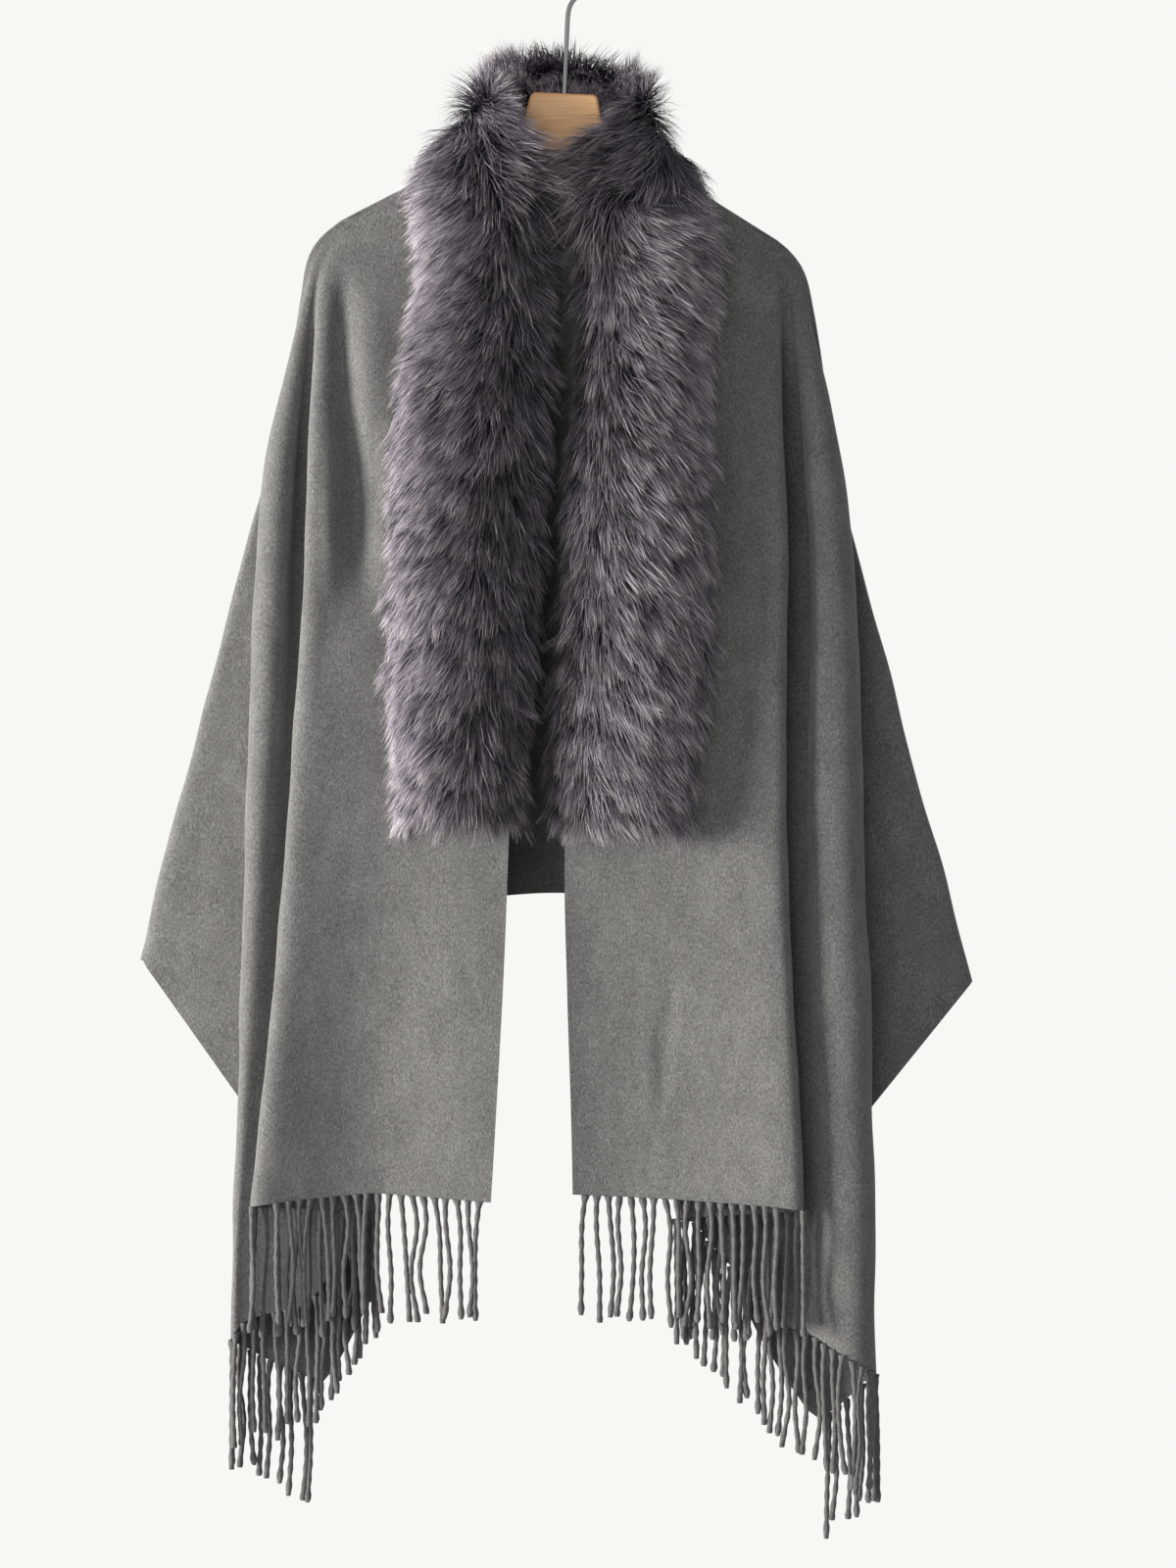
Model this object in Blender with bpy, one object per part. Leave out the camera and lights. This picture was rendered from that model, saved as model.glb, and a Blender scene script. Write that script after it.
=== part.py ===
"""A fringed wool shawl with a fur collar, hung centre back on a flat wooden hanger.

Metres, +Z up, +X to the right as seen from the front and -Y towards the front. The origin is the inside top of the
hanger's hook, where a rail carries it. Tables are in millimetres: "drop" is the height below the origin and "out" is
the distance from the centre line towards the side in hand.

The shawl is one rectangle of cloth. Its horizontal section at any drop is a smooth curve from the left front edge,
round the left folds, across the back and round the right folds to the right front edge. Every stretch of cloth is
a piece of that curve, swept down to its hem.
"""

import functools
import math
import random
from collections import namedtuple

import bmesh
import bpy
from mathutils import Vector

MM = 0.001

# Driving sizes, in millimetres
CLOTH = 2.0  # thickness of the wool cloth
SEAM = 0.3  # between pieces that meet
CLOTH_SEAM = 0.7  # between stretches of cloth
REST = 0.5  # between the cloth and the wood that carries it
BACK_NECK_DROP = 135.0  # upper edge of the shawl at the centre back
TOP_DROP = 175.0  # upper edge of the shawl where it crosses the hanger's arms
BACK_HEM_DROP = 834.0
FRINGE_LENGTH = 108.0
STRAND = 4.0
STRAND_STEP = 10.0
FRINGE_GAP = 0.9  # between the cloth's end and the strip that carries the fringe
BACKING = 4.0  # height of the strip that carries the fringe

PLATE_TOP = 125.0  # upper face of the hanger, below the hook's inside top
HANGER_TILT = math.radians(2.5)  # the right arm hangs lower
ARM_TOP = ((50.0, 168.0), (172.0, 237.6))  # the straight run that carries the cloth
WIRE = 4.4
HOOK_RADIUS = 18.3  # inside the hook

LEFT, RIGHT = -1, 1
SIDE_NAMES = {LEFT: "left", RIGHT: "right"}

# Half outline of the hanger, out and drop: along the top from the middle, then back along the bottom
HangerPoint = namedtuple("HangerPoint", "out drop")
HANGER_OUTLINE = (
    HangerPoint(26, PLATE_TOP),
    HangerPoint(29.5, 127),
    HangerPoint(31, 132),
    HangerPoint(33.5, 144),
    HangerPoint(39.5, 157),
    HangerPoint(*ARM_TOP[0]),
    HangerPoint(*ARM_TOP[1]),
    HangerPoint(179, 243),
    HangerPoint(182, 250),
    HangerPoint(181, 257.5),
    HangerPoint(175, 263),
    HangerPoint(166, 262.5),
    HangerPoint(120, 240),
    HangerPoint(70, 216),
    HangerPoint(34, 206),
)

# How far out the cloth's edge and folds stand at each drop, for each side
Outline = namedtuple("Outline", "drop inner main strip wing")
OUTLINES = {
    LEFT: (
        Outline(239, 46, 181, 203, 203),
        Outline(254, 46, 198, 221, 217),
        Outline(267, 45, 208, 230, 224),
        Outline(305, 44, 220, 240, 232),
        Outline(365, 42, 225, 253, 248),
        Outline(460, 41, 230, 270, 270),
        Outline(540, 42, 232, 277, 293),
        Outline(660, 46, 239, 282, 324),
        Outline(774, 53, 248, 286, 355),
        Outline(880, 57, 256, 289, 380),
        Outline(1047, 66, 273, 293, 423),
        Outline(1117, 70, 280, 296, 441),
        Outline(1230, 72, 284, 298, 470),
        Outline(1300, 72, 284, 298, 488),
    ),
    RIGHT: (
        Outline(255, 18, 160, 181, 181),
        Outline(266, 17, 173, 194, 192),
        Outline(282, 16, 178, 206, 202),
        Outline(316, 15, 181, 216, 212),
        Outline(359, 15, 183, 225, 221),
        Outline(456, 12, 187, 240, 236),
        Outline(529, 9, 190, 249, 254),
        Outline(662, 2, 188, 256, 291),
        Outline(746, -3, 188, 258, 312),
        Outline(822, -5, 190, 260, 334),
        Outline(912, -3, 194, 264, 358),
        Outline(1045, 1, 202, 267, 392),
        Outline(1101, 2, 204, 268, 406),
        Outline(1230, 3, 208, 269, 439),
        Outline(1300, 3, 208, 272, 457),
    ),
}

# How deep the two hidden tucks reach inwards, how far in front of the hanger the front panels hang, how far the
# layers stand apart, as a share of the levels below, how much of the folding is there, and how hollow the panels are
Fullness = namedtuple("Fullness", "drop tuck front spread folded hollow")
FULLNESS = (
    Fullness(150, 0, 8.0, 0, 0, 0),
    Fullness(245, 0, 8.5, 0, 0, 0),
    Fullness(275, 0, 12.0, 0.2, 0.1, 0.1),
    Fullness(305, 2, 18.0, 0.42, 0.28, 0.15),
    Fullness(345, 6, 27.0, 0.66, 0.55, 0.2),
    Fullness(400, 12, 38.0, 0.85, 0.85, 0.25),
    Fullness(480, 20, 48.0, 0.96, 1, 0.3),
    Fullness(600, 40, 55.0, 1, 1, 0.35),
    Fullness(822, 77, 58.0, 1, 1, 0.6),
    Fullness(1105, 114, 58.0, 1, 1, 1),
    Fullness(1200, 120, 58.0, 1, 1, 1),
    Fullness(1300, 120, 58.0, 1, 1, 1),
)
EASY = 0.7  # exponent of what changes fast at first and slowly later
RIDGE = 8.0  # half the depth of the cloth where it lies over an arm
LIP = 3.0  # from the flat panel's edge to its roll, where nothing is folded yet
CREST_MARGIN, CREST_SHARE = 22.0, 0.4  # from the crest to the flat panel, at most, and of the panel's width
BACK_SPREAD = 16.0  # how much further back the back hangs where the layers stand apart
NECK_EDGE, NECK_SPREAD = 38.0, 0.3  # furthest out of the front edges over the hanger, and their slant there

# The turning points of a section, from the front edge to the outermost fold. "along" is the share of the way to the
# outline in "to", from the front edge or, for the wing, from the second tuck. "inset" and "tuck" times the tuck's
# depth come off it; "level" is how far behind the front roll the point lies, and "rise" how far fullness lifts it.
Station = namedtuple("Station", "name to along inset tuck level rise", defaults=(0,))
PANEL_LEVELS = (34, 33.5, 32, 30, 26, 20, 12, 4)  # the panel hollows from its outer roll to its front edge
STRIP_ROOM = (16.0, 30.0)  # width between the panel and the strip's edge where the strip starts to round, and more
SECOND_TUCK = 1.07  # the second tuck's depth over the first's
STATIONS = (
    *(Station(f"panel_{n}", "main", n / len(PANEL_LEVELS), 0, 0, level) for n, level in enumerate(PANEL_LEVELS)),
    Station("main_near", "main", 1, 14, 0, 0),
    Station("main_front", "main", 1, 0, 0, 0),
    Station("main_back", "main", 1, 0, 0, 18),
    Station("tuck1_mid", "main", 1, 0, 0.5, 28),
    Station("tuck1_front", "main", 1, 0, 1, 36),
    Station("tuck1_back", "main", 1, 0, 1, 45),
    Station("strip_mid", "strip", 1, 14, 0.4, 42),
    Station("strip_in", "fold", 0.25, 0, 0, 32, 12),
    Station("strip_crest", "fold", 0.62, 0, 0, 28, 18),
    Station("strip_front", "strip", 1, 0, 0, 26, 8),
    Station("strip_back", "strip", 1, 0, 0, 52),
    Station("tuck2_mid", "strip", 1, 0, 0.5, 58),
    Station("tuck2_front", "strip", 1, 0, SECOND_TUCK, 60),
    Station("tuck2_back", "strip", 1, 0, SECOND_TUCK, 67),
    Station("wing_in", "wing", 0.33, 0, 0, 68),
    Station("wing_mid", "wing", 0.66, 0, 0, 69),
    Station("wing_near", "wing", 0.88, 0, 0, 69),
    Station("fold_front", "wing", 1, 0, 0, 69),
    Station("fold_back", "wing", 1, 0, 0, 83),
)
PLACE = {station.name: index for index, station in enumerate(STATIONS)}
FRONT_COUNT = len(STATIONS)
BACK_POINTS = 21
WallPoint = namedtuple("WallPoint", "middle facing")
PLACE_STEP, DROP_STEP = 0.02, 0.5  # over which the way the cloth faces is measured
FOLD_TURN = 8.0  # from the outermost fold to the back's first point
SECTION_END = 2 * FRONT_COUNT + BACK_POINTS - 1
WING_SEAM = PLACE["tuck2_back"] + 0.42  # where the wings start
FOLD_SEAM = FRONT_COUNT + 0.6  # where the wings meet the back

# Soft ridges and hollows down the front panels, as paths from one drop to another
Swell = namedtuple("Swell", "side drop_from drop_to out_from out_to width height")
SWELLS = (
    Swell(LEFT, 285, 620, 204, 176, 26, -9),
    Swell(LEFT, 300, 480, 180, 166, 22, 6),
    Swell(LEFT, 640, 1500, 56, 64, 150, 26),
    Swell(RIGHT, 300, 640, 152, 140, 24, -7),
)

# Soft folds down the back: where they stand from the left wing (-1) to the right wing (1)
BackFold = namedtuple("BackFold", "across width drop_from depth")
BACK_FOLDS = (
    BackFold(-0.74, 0.17, 330, 44),
    BackFold(-0.37, 0.18, 400, 55),
    BackFold(0.02, 0.16, 460, 39),
    BackFold(0.4, 0.19, 380, 57),
    BackFold(0.76, 0.16, 320, 42),
)

# Lower edge of the cloth at each station, in drop; the wing's lower edge is a straight line in the front view
Hem = namedtuple("Hem", "at drop")
CORNER_AT = {LEFT: PLACE["tuck2_mid"] + 0.3, RIGHT: PLACE["tuck2_mid"] - 0.1}
HEMS = {
    LEFT: (
        Hem(0, 1101),
        Hem(PLACE["panel_4"], 1094),
        Hem(PLACE["main_front"], 1104),
        Hem(PLACE["main_back"], 1106),
        Hem(PLACE["tuck1_front"], 1112),
        Hem(PLACE["tuck1_back"], 1114),
        Hem(PLACE["strip_mid"], 1196),
        Hem(PLACE["strip_front"], 1224),
        Hem(PLACE["strip_back"], 1232),
        Hem(CORNER_AT[LEFT], 1267),
        Hem(PLACE["tuck2_front"], 1196),
        Hem(PLACE["tuck2_back"], 1191),
    ),
    RIGHT: (
        Hem(0, 1097),
        Hem(PLACE["panel_4"], 1101),
        Hem(PLACE["main_front"], 1107),
        Hem(PLACE["main_back"], 1110),
        Hem(PLACE["tuck1_front"], 1118),
        Hem(PLACE["tuck1_back"], 1121),
        Hem(PLACE["strip_mid"], 1214),
        Hem(PLACE["strip_front"], 1252),
        Hem(PLACE["strip_back"], 1262),
        Hem(CORNER_AT[RIGHT], 1301),
        Hem(PLACE["tuck2_front"], 1190),
        Hem(PLACE["tuck2_back"], 1181),
    ),
}
WingHem = namedtuple("WingHem", "tip_out tip_drop tuck_out tuck_drop")
WING_HEMS = {LEFT: WingHem(381, 893, 169, 1191), RIGHT: WingHem(357, 912, 140, 1181)}

# Rows of a stretch of cloth, as shares of the way from its upper edge to its hem
PANEL_ROW_DROPS = (175, 190, 206, 224, 243, 262, 284, 310, 345, 385, 430, 480, 545, 620, 700, 796, 890, 990, 1098)
ROW_SHARES = tuple(
    (drop - PANEL_ROW_DROPS[0]) / (PANEL_ROW_DROPS[-1] - PANEL_ROW_DROPS[0]) for drop in PANEL_ROW_DROPS
)
FUR_FIRST_ROW = PANEL_ROW_DROPS.index(262)
FUR_LAST_ROW = PANEL_ROW_DROPS.index(796)

# Reach of the fur down each front: its edges towards the middle and the side, and how far it stands out
FurRow = namedtuple("FurRow", "drop inner outer deep")
FUR_ROWS = {
    LEFT: (
        FurRow(262, 14, 137, 56),
        FurRow(300, 13, 136, 58),
        FurRow(345, 13, 146, 60),
        FurRow(392, 13, 157, 62),
        FurRow(480, 17, 161, 64),
        FurRow(600, 24, 163, 64),
        FurRow(700, 35, 158, 62),
        FurRow(770, 38, 155, 56),
        FurRow(796, 48, 142, 34),
    ),
    RIGHT: (
        FurRow(262, 4, 138, 56),
        FurRow(300, 6, 134, 58),
        FurRow(345, 3, 128, 60),
        FurRow(392, 0, 126, 62),
        FurRow(480, -9, 126, 64),
        FurRow(600, -14, 130, 64),
        FurRow(700, -24, 117, 62),
        FurRow(770, -20, 110, 56),
        FurRow(796, -12, 86, 34),
    ),
}
FUR_ARCH = 9  # points over the fur from edge to edge
FUR_PART_DEPTH = 7.0  # of the parting down the middle
FUR_LIFT = 9.0  # of the hair's edges off the cloth
FUR_BASE_COLUMNS = 5  # columns of the front panel that the fur lies on
FUR_SEED, NECK_SEED = 5, 45
FUR_ROUGHNESS = 2.0
FUR_ROUNDNESS = 0.6  # exponent: lower is squarer
FRONTWARD = Vector((0, -1, 0))
NECK_BASE_SHARES = (0.08, 0.29, 0.5, 0.71, 0.92)
BACK_COLUMNS = 30
COLUMNS_PAST_CORNER = 4  # of each side's folds, past the shawl's corner
STRAND_RINGS = ((0.12, 1.0), (0.55, 1.0), (1.0, 0.8))  # share of a strand's length, and its size there
WOOD_RINGS = ((-6.0, 2.6), (-5.2, 0.9), (-3.2, 0.0), (3.2, 0.0), (5.2, 0.9), (6.0, 2.6))  # y, and inset
HOOK_STEM_TOP = 62.0
HOOK_JOIN_DEG = -55.0
HOOK_END_DEG = 205.0
HOOK_STEPS = 7
HOOK_BEND = 0.45  # length of the curve's handles, over the way from the stem to the bend

# The collar round the neck, in the hanger's own frame: the middle of its base, half its width, how far it stands out,
# and the way it faces
NeckRow = namedtuple("NeckRow", "out back drop half deep face_out face_back face_drop")
NECK_ROWS = (
    NeckRow(81, -12.5, 232, 63, 56, 0.0, -1.0, 0.0),
    NeckRow(84.5, -14.0, 205, 61.5, 54, 0.10, -0.95, -0.30),
    NeckRow(85, -11.0, 183, 59, 48, 0.30, -0.65, -0.70),
    NeckRow(86, 1.0, 173, 52, 39, 0.50, 0.0, -0.87),
    NeckRow(76, 18.0, 159, 44, 36, 0.42, 0.60, -0.68),
    NeckRow(53, 25.0, 139, 41, 40, 0.25, 0.90, -0.36),
    NeckRow(27, 26.0, 124, 40, 43, 0.10, 0.97, -0.20),
)
NECK_MIDDLE = NeckRow(0, 26.0, 119, 40, 43, 0.0, 0.98, -0.18)


def between(rows, drop, column):
    """Value of a named column at a drop, with the ends held."""
    if drop <= rows[0].drop:
        return getattr(rows[0], column)
    for low, high in zip(rows, rows[1:]):
        if drop <= high.drop:
            share = (drop - low.drop) / (high.drop - low.drop)
            return getattr(low, column) + share * (getattr(high, column) - getattr(low, column))
    return getattr(rows[-1], column)


def ease(share):
    """Smooth step from 0 to 1."""
    share = min(1.0, max(0.0, share))
    return share * share * (3 - 2 * share)


def tilted(out, drop, side):
    """Out and drop of a point of the hanger, once the hanger hangs askew."""
    x, z = side * out, -drop
    turned_x = x * math.cos(HANGER_TILT) + z * math.sin(HANGER_TILT)
    turned_z = z * math.cos(HANGER_TILT) - x * math.sin(HANGER_TILT)
    return side * turned_x, -turned_z


def crest_out(side, drop):
    """How far out the cloth's middle layer crosses the hanger's arm at a drop."""
    neck, end = (tilted(*point, side) for point in ARM_TOP)
    slope = (end[1] - neck[1]) / (end[0] - neck[0])
    lift = (REST + CLOTH / 2) * math.hypot(1, slope)
    return neck[0] + (drop + lift - neck[1]) / slope


def outline(side, drop):
    """The outline row at a drop. Over the arm it follows the wood."""
    rows = OUTLINES[side]
    inner, main, strip, wing = (between(rows, drop, name) for name in ("inner", "main", "strip", "wing"))
    if drop < rows[0].drop:
        inner = max(inner, min(NECK_EDGE, inner + NECK_SPREAD * (rows[0].drop - drop)))
        strip = wing = crest_out(side, drop)
        main = strip - min(CREST_MARGIN, CREST_SHARE * (strip - inner))
    return Outline(drop, inner, main, strip, wing)


def swell(side, out, drop):
    """How far the soft ridges bring a front panel forwards at a point."""
    total = 0.0
    for row in SWELLS:
        if row.side != side:
            continue
        share = (drop - row.drop_from) / (row.drop_to - row.drop_from)
        off = (out - row.out_from - share * (row.out_to - row.out_from)) / row.width
        if 0 < share < 1 and abs(off) < 1:
            total += row.height * math.sin(math.pi * share) * 0.5 * (1 + math.cos(math.pi * off))
    return total


def front_controls(side, drop):
    """Control points (out, back) of one side's front, from its front edge to its outermost fold."""
    at = outline(side, drop)
    tuck = between(FULLNESS, drop, "tuck")
    front = between(FULLNESS, drop, "front")
    folded = between(FULLNESS, drop, "folded")
    spread = between(FULLNESS, drop, "spread")
    hollow = between(FULLNESS, drop, "hollow")
    room = min(1, max(0, (at.strip - at.main - STRIP_ROOM[0]) / STRIP_ROOM[1]))
    widest = max(at.strip, at.wing)
    first = PLACE["main_near"]
    lip = min(LIP, (at.main - at.inner) / 10)
    points = []
    for index, station in enumerate(STATIONS):
        start, end = {
            "main": (at.inner, at.main),
            "strip": (at.inner, at.strip),
            "fold": (at.main, at.strip),
            "wing": (at.strip - SECOND_TUCK * tuck, at.wing),
        }[station.to]
        out = start + station.along * (end - start) - station.inset - station.tuck * tuck
        back = (station.level - station.rise * room) * spread - front
        if index >= first:
            # Where nothing is folded yet, the turning points lie side by side along the cloth's crest.
            share = (index - first) / (FRONT_COUNT - 2 - first)
            plain = at.main - lip + min(share, 1) ** EASY * (widest - at.main + lip)
            plain_back = RIDGE if index == FRONT_COUNT - 1 else -RIDGE
            plain_back -= (front - RIDGE) * (1 - min(share, 1)) * (1 - folded)
            out = plain + folded * (out - plain)
            back = plain_back + folded * (back - plain_back)
        else:
            back = hollow * station.level - front - swell(side, out, drop)
        points.append((out, back))
    return points


def back_controls(drop):
    """Control points (x, back) across the back, from the left fold to the right fold."""
    spread = between(FULLNESS, drop, "spread")
    edges = {}
    for side in (LEFT, RIGHT):
        at = outline(side, drop)
        edges[side] = side * (max(at.strip, at.wing) if drop < OUTLINES[side][3].drop else at.wing)
    points = []
    for index in range(BACK_POINTS):
        across = 2 * index / (BACK_POINTS - 1) - 1
        x = edges[LEFT] + FOLD_TURN + (across + 1) / 2 * (edges[RIGHT] - edges[LEFT] - 2 * FOLD_TURN)
        back = RIDGE + BACK_SPREAD * spread
        for fold in BACK_FOLDS:
            off = (across - fold.across) / fold.width
            if abs(off) < 1:
                grown = ease((drop - fold.drop_from) / (BACK_HEM_DROP - fold.drop_from))
                back += fold.depth * grown * (1 + math.cos(math.pi * off)) / 2
        points.append((x, back))
    return points


@functools.lru_cache(maxsize=None)
def section_controls(drop):
    """All control points (x, y) of the section at a drop, from left front edge to right front edge."""
    left = [(-out, back) for out, back in front_controls(LEFT, drop)]
    right = front_controls(RIGHT, drop)
    return left + back_controls(drop) + right[::-1]


def cloth_point(place, drop):
    """Point of the cloth's middle layer: place runs from 0 to SECTION_END along a cubic B-spline."""
    points = section_controls(drop)
    index = min(int(place), len(points) - 2)
    t = place - index
    weights = (
        (1 - t) ** 3 / 6,
        (3 * t**3 - 6 * t**2 + 4) / 6,
        (-3 * t**3 + 3 * t**2 + 3 * t + 1) / 6,
        t**3 / 6,
    )
    first = points[index - 1] if index > 0 else mirrored(points[0], points[1])
    last = points[index + 2] if index + 2 < len(points) else mirrored(points[-1], points[-2])
    window = (first, points[index], points[index + 1], last)
    x = sum(weight * point[0] for weight, point in zip(weights, window))
    y = sum(weight * point[1] for weight, point in zip(weights, window))
    return Vector((x, y, -drop))


def mirrored(end, neighbour):
    """The point as far beyond an end as its neighbour lies before it."""
    return tuple(2 * a - b for a, b in zip(end, neighbour))


def side_place(place):
    """The side a place lies on, and its place counted from that side's front edge."""
    if place <= SECTION_END / 2:
        return LEFT, place
    return RIGHT, SECTION_END - place


def hem_drop(place):
    """Drop of the cloth's lower edge at a place of the section."""
    side, at = side_place(place)
    hems = HEMS[side]
    for low, high in zip(hems, hems[1:]):
        if at <= high.at:
            return low.drop + (at - low.at) / (high.at - low.at) * (high.drop - low.drop)
    wing = WING_HEMS[side]
    if at < PLACE["fold_front"]:
        drop = wing.tip_drop
        slope = (wing.tuck_drop - wing.tip_drop) / (wing.tip_out - wing.tuck_out)
        for _ in range(30):
            out = abs(cloth_point(place, drop).x)
            drop = wing.tip_drop + max(0.0, wing.tip_out - out) * slope
        return min(drop, hems[-1].drop)
    if at <= FRONT_COUNT:
        return wing.tip_drop
    share = (at - FRONT_COUNT) / (SECTION_END / 2 - FRONT_COUNT)
    return wing.tip_drop + (BACK_HEM_DROP - wing.tip_drop) * ease(share) ** EASY


def top_drop(place):
    """Drop of the cloth's upper edge: level over the fronts, rising to the centre back."""
    _, at = side_place(place)
    share = (at - FRONT_COUNT) / (SECTION_END / 2 - FRONT_COUNT)
    return TOP_DROP + (BACK_NECK_DROP - TOP_DROP) * ease(share)


def column(place, clear):
    """The cloth's middle layer and the way it faces, from its upper edge to its hem, moved "clear" along the cloth."""
    top, hem = top_drop(place), hem_drop(place)
    line = []
    for share in ROW_SHARES:
        drop = top + share * (hem - top)
        along = cloth_point(place + PLACE_STEP, drop) - cloth_point(place - PLACE_STEP, drop)
        down = cloth_point(place, drop + DROP_STEP) - cloth_point(place, drop - DROP_STEP)
        middle = cloth_point(place, drop) + along.normalized() * clear
        line.append(WallPoint(middle, along.cross(down).normalized()))
    return line


def stretch(places):
    """Columns of cloth at the given places. A stretch that starts at a seam stands clear of its neighbour."""
    return [column(place, CLOTH_SEAM if place == places[0] > 0 else 0.0) for place in places]


def steps(start, end, count):
    """Evenly spaced values, both ends included."""
    return [start + (end - start) * index / (count - 1) for index in range(count)]


def material(name, colour, roughness, metallic=0.0):
    """A plain Principled material."""
    made = bpy.data.materials.new(name)
    made.use_nodes = True
    shader = made.node_tree.nodes["Principled BSDF"]
    shader.inputs["Base Color"].default_value = (*colour, 1)
    shader.inputs["Roughness"].default_value = roughness
    shader.inputs["Metallic"].default_value = metallic
    return made


def add(name, points, faces, finish, smooth=True):
    """A mesh object from points in millimetres."""
    mesh = bpy.data.meshes.new(name)
    mesh.from_pydata([tuple(MM * value for value in point) for point in points], [], faces)
    mesh.materials.append(finish)
    if smooth:
        mesh.shade_smooth()
        mesh.set_sharp_from_angle(angle=math.radians(40))
    made = bpy.data.objects.new(name, mesh)
    bpy.context.scene.collection.objects.link(made)
    return made


def sheet(name, columns, finish):
    """A cloth wall: the columns of its middle layer, with a face on either side and a rim all round."""
    rows, lines = len(columns[0]), len(columns)
    points = [point.middle + point.facing * CLOTH / 2 for line in columns for point in line]
    points += [point.middle - point.facing * CLOTH / 2 for line in columns for point in line]
    other = rows * lines
    faces = []
    for c in range(lines - 1):
        for r in range(rows - 1):
            low, after = c * rows + r, (c + 1) * rows + r
            faces.append((low, low + 1, after + 1, after))
            faces.append((other + low, other + after, other + after + 1, other + low + 1))
    upper, lower = range(0, other, rows), range(rows - 1, other, rows)
    first, last = range(rows), range(other - rows, other)
    for rim in (upper, [*lower][::-1], [*first][::-1], last):
        for a, b in zip(rim, rim[1:]):
            faces.append((a, b, other + b, other + a))
    return outward(add(name, points, faces, finish))


def lofted(name, sections, finish):
    """A closed body through sections with the same number of points, each section a ring."""
    count = len(sections[0])
    points = [point for section in sections for point in section]
    faces = [tuple(range(count))]
    for s in range(len(sections) - 1):
        for p in range(count):
            after = (p + 1) % count
            low, high = s * count, (s + 1) * count
            faces.append((low + after, low + p, high + p, high + after))
    faces.append(tuple(reversed(range(len(points) - count, len(points)))))
    return outward(add(name, points, faces, finish))


def outward(made):
    """Turns an object's faces outwards."""
    mesh = bmesh.new()
    mesh.from_mesh(made.data)
    bmesh.ops.recalc_face_normals(mesh, faces=mesh.faces)
    mesh.to_mesh(made.data)
    mesh.free()
    return made


def at_drop(line, drop):
    """Point of a column of cloth at a drop."""
    for high, low in zip(line, line[1:]):
        if -low.middle.z >= drop:
            share = (drop + high.middle.z) / (high.middle.z - low.middle.z)
            return high.middle.lerp(low.middle, share)
    return line[-1].middle


def fur_ring(base, inner, outer, away, deep, seed):
    """A closed ring of fur: the base points on the cloth, then an arch of hair from outer edge back to inner edge."""
    random.seed(seed)
    middle, half = (inner + outer) / 2, (outer - inner) / 2
    arch = []
    for n in range(FUR_ARCH):
        turn = math.pi * n / (FUR_ARCH - 1)
        height = FUR_LIFT + (deep - FUR_LIFT) * math.sin(turn) ** FUR_ROUNDNESS
        if n == FUR_ARCH // 2:
            height -= FUR_PART_DEPTH
        arch.append(middle + half * math.cos(turn) + away * (height + random.uniform(-FUR_ROUGHNESS, FUR_ROUGHNESS)))
    return base + arch


def fur_front_rings(side, columns):
    """Rings of fur down one front, from the top, on that front's columns counted from its edge."""
    rings = []
    for index, drop in enumerate(PANEL_ROW_DROPS[FUR_FIRST_ROW : FUR_LAST_ROW + 1]):
        rows = FUR_ROWS[side]
        on_cloth = [at_drop(line, drop) for line in columns[: FUR_BASE_COLUMNS]]
        base = [point + Vector((0, -(CLOTH / 2 + REST), 0)) for point in on_cloth]
        next_y = at_drop(columns[FUR_BASE_COLUMNS], drop).y - CLOTH / 2 - REST
        inner = Vector((side * between(rows, drop, "inner"), base[0].y, -drop))
        outer = Vector((side * between(rows, drop, "outer"), next_y, -drop))
        rings.append(fur_ring(base, inner, outer, FRONTWARD, between(rows, drop, "deep"), FUR_SEED + index))
    return rings


def neck_path():
    """The collar's stations round the neck, from the left front to the right front, as points in the part's frame."""
    stations = []
    for side, rows in ((LEFT, NECK_ROWS), (RIGHT, NECK_ROWS[::-1])):
        for row in rows:
            out, drop = tilted(row.out, row.drop, side)
            face = Vector((side * row.face_out, row.face_back, -row.face_drop)).normalized()
            stations.append((Vector((side * out, row.back, -drop)), face, row))
        if side == LEFT:
            row = NECK_MIDDLE
            out, drop = tilted(row.out, row.drop, LEFT)
            face = Vector((0, row.face_back, -row.face_drop)).normalized()
            stations.append((Vector((-out, row.back, -drop)), face, row))
    return stations


def neck_rings(first, last):
    """Rings of fur round the neck. They start and end on the rings that the two fronts' fur ends with."""
    lift = Vector((0, 0, SEAM))
    stations = neck_path()
    rings = [[point + lift for point in first]]
    for index, (middle, face, row) in enumerate(stations):
        before = stations[max(index - 1, 0)][0]
        after = stations[min(index + 1, len(stations) - 1)][0]
        along = (after - before).normalized()
        if index in (0, len(stations) - 1):
            along = Vector((0, 0, 1 if index == 0 else -1))
        across = face.cross(along).normalized()
        face = along.cross(across).normalized()
        neckward, outer = middle - across * row.half, middle + across * row.half
        base = [neckward.lerp(outer, share) for share in NECK_BASE_SHARES]
        rings.append(fur_ring(base, neckward, outer, face, row.deep, NECK_SEED + index))
    rings.append([point + lift for point in last])
    return rings


def along_path(path, distance):
    """Point at a distance along a list of points."""
    walked = 0.0
    for start, end in zip(path, path[1:]):
        length = (end - start).length
        if walked + length >= distance or end is path[-1]:
            share = min(1.0, (distance - walked) / length)
            return start.lerp(end, share)
        walked += length
    raise ValueError("empty path")


def smooth_direction(path, distance, total):
    """Level direction of a path round its bends."""
    reach = STRAND / 2
    start = along_path(path, max(0.0, distance - reach))
    end = along_path(path, min(total, distance + reach))
    return Vector((end.x - start.x, end.y - start.y, 0)).normalized()


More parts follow.
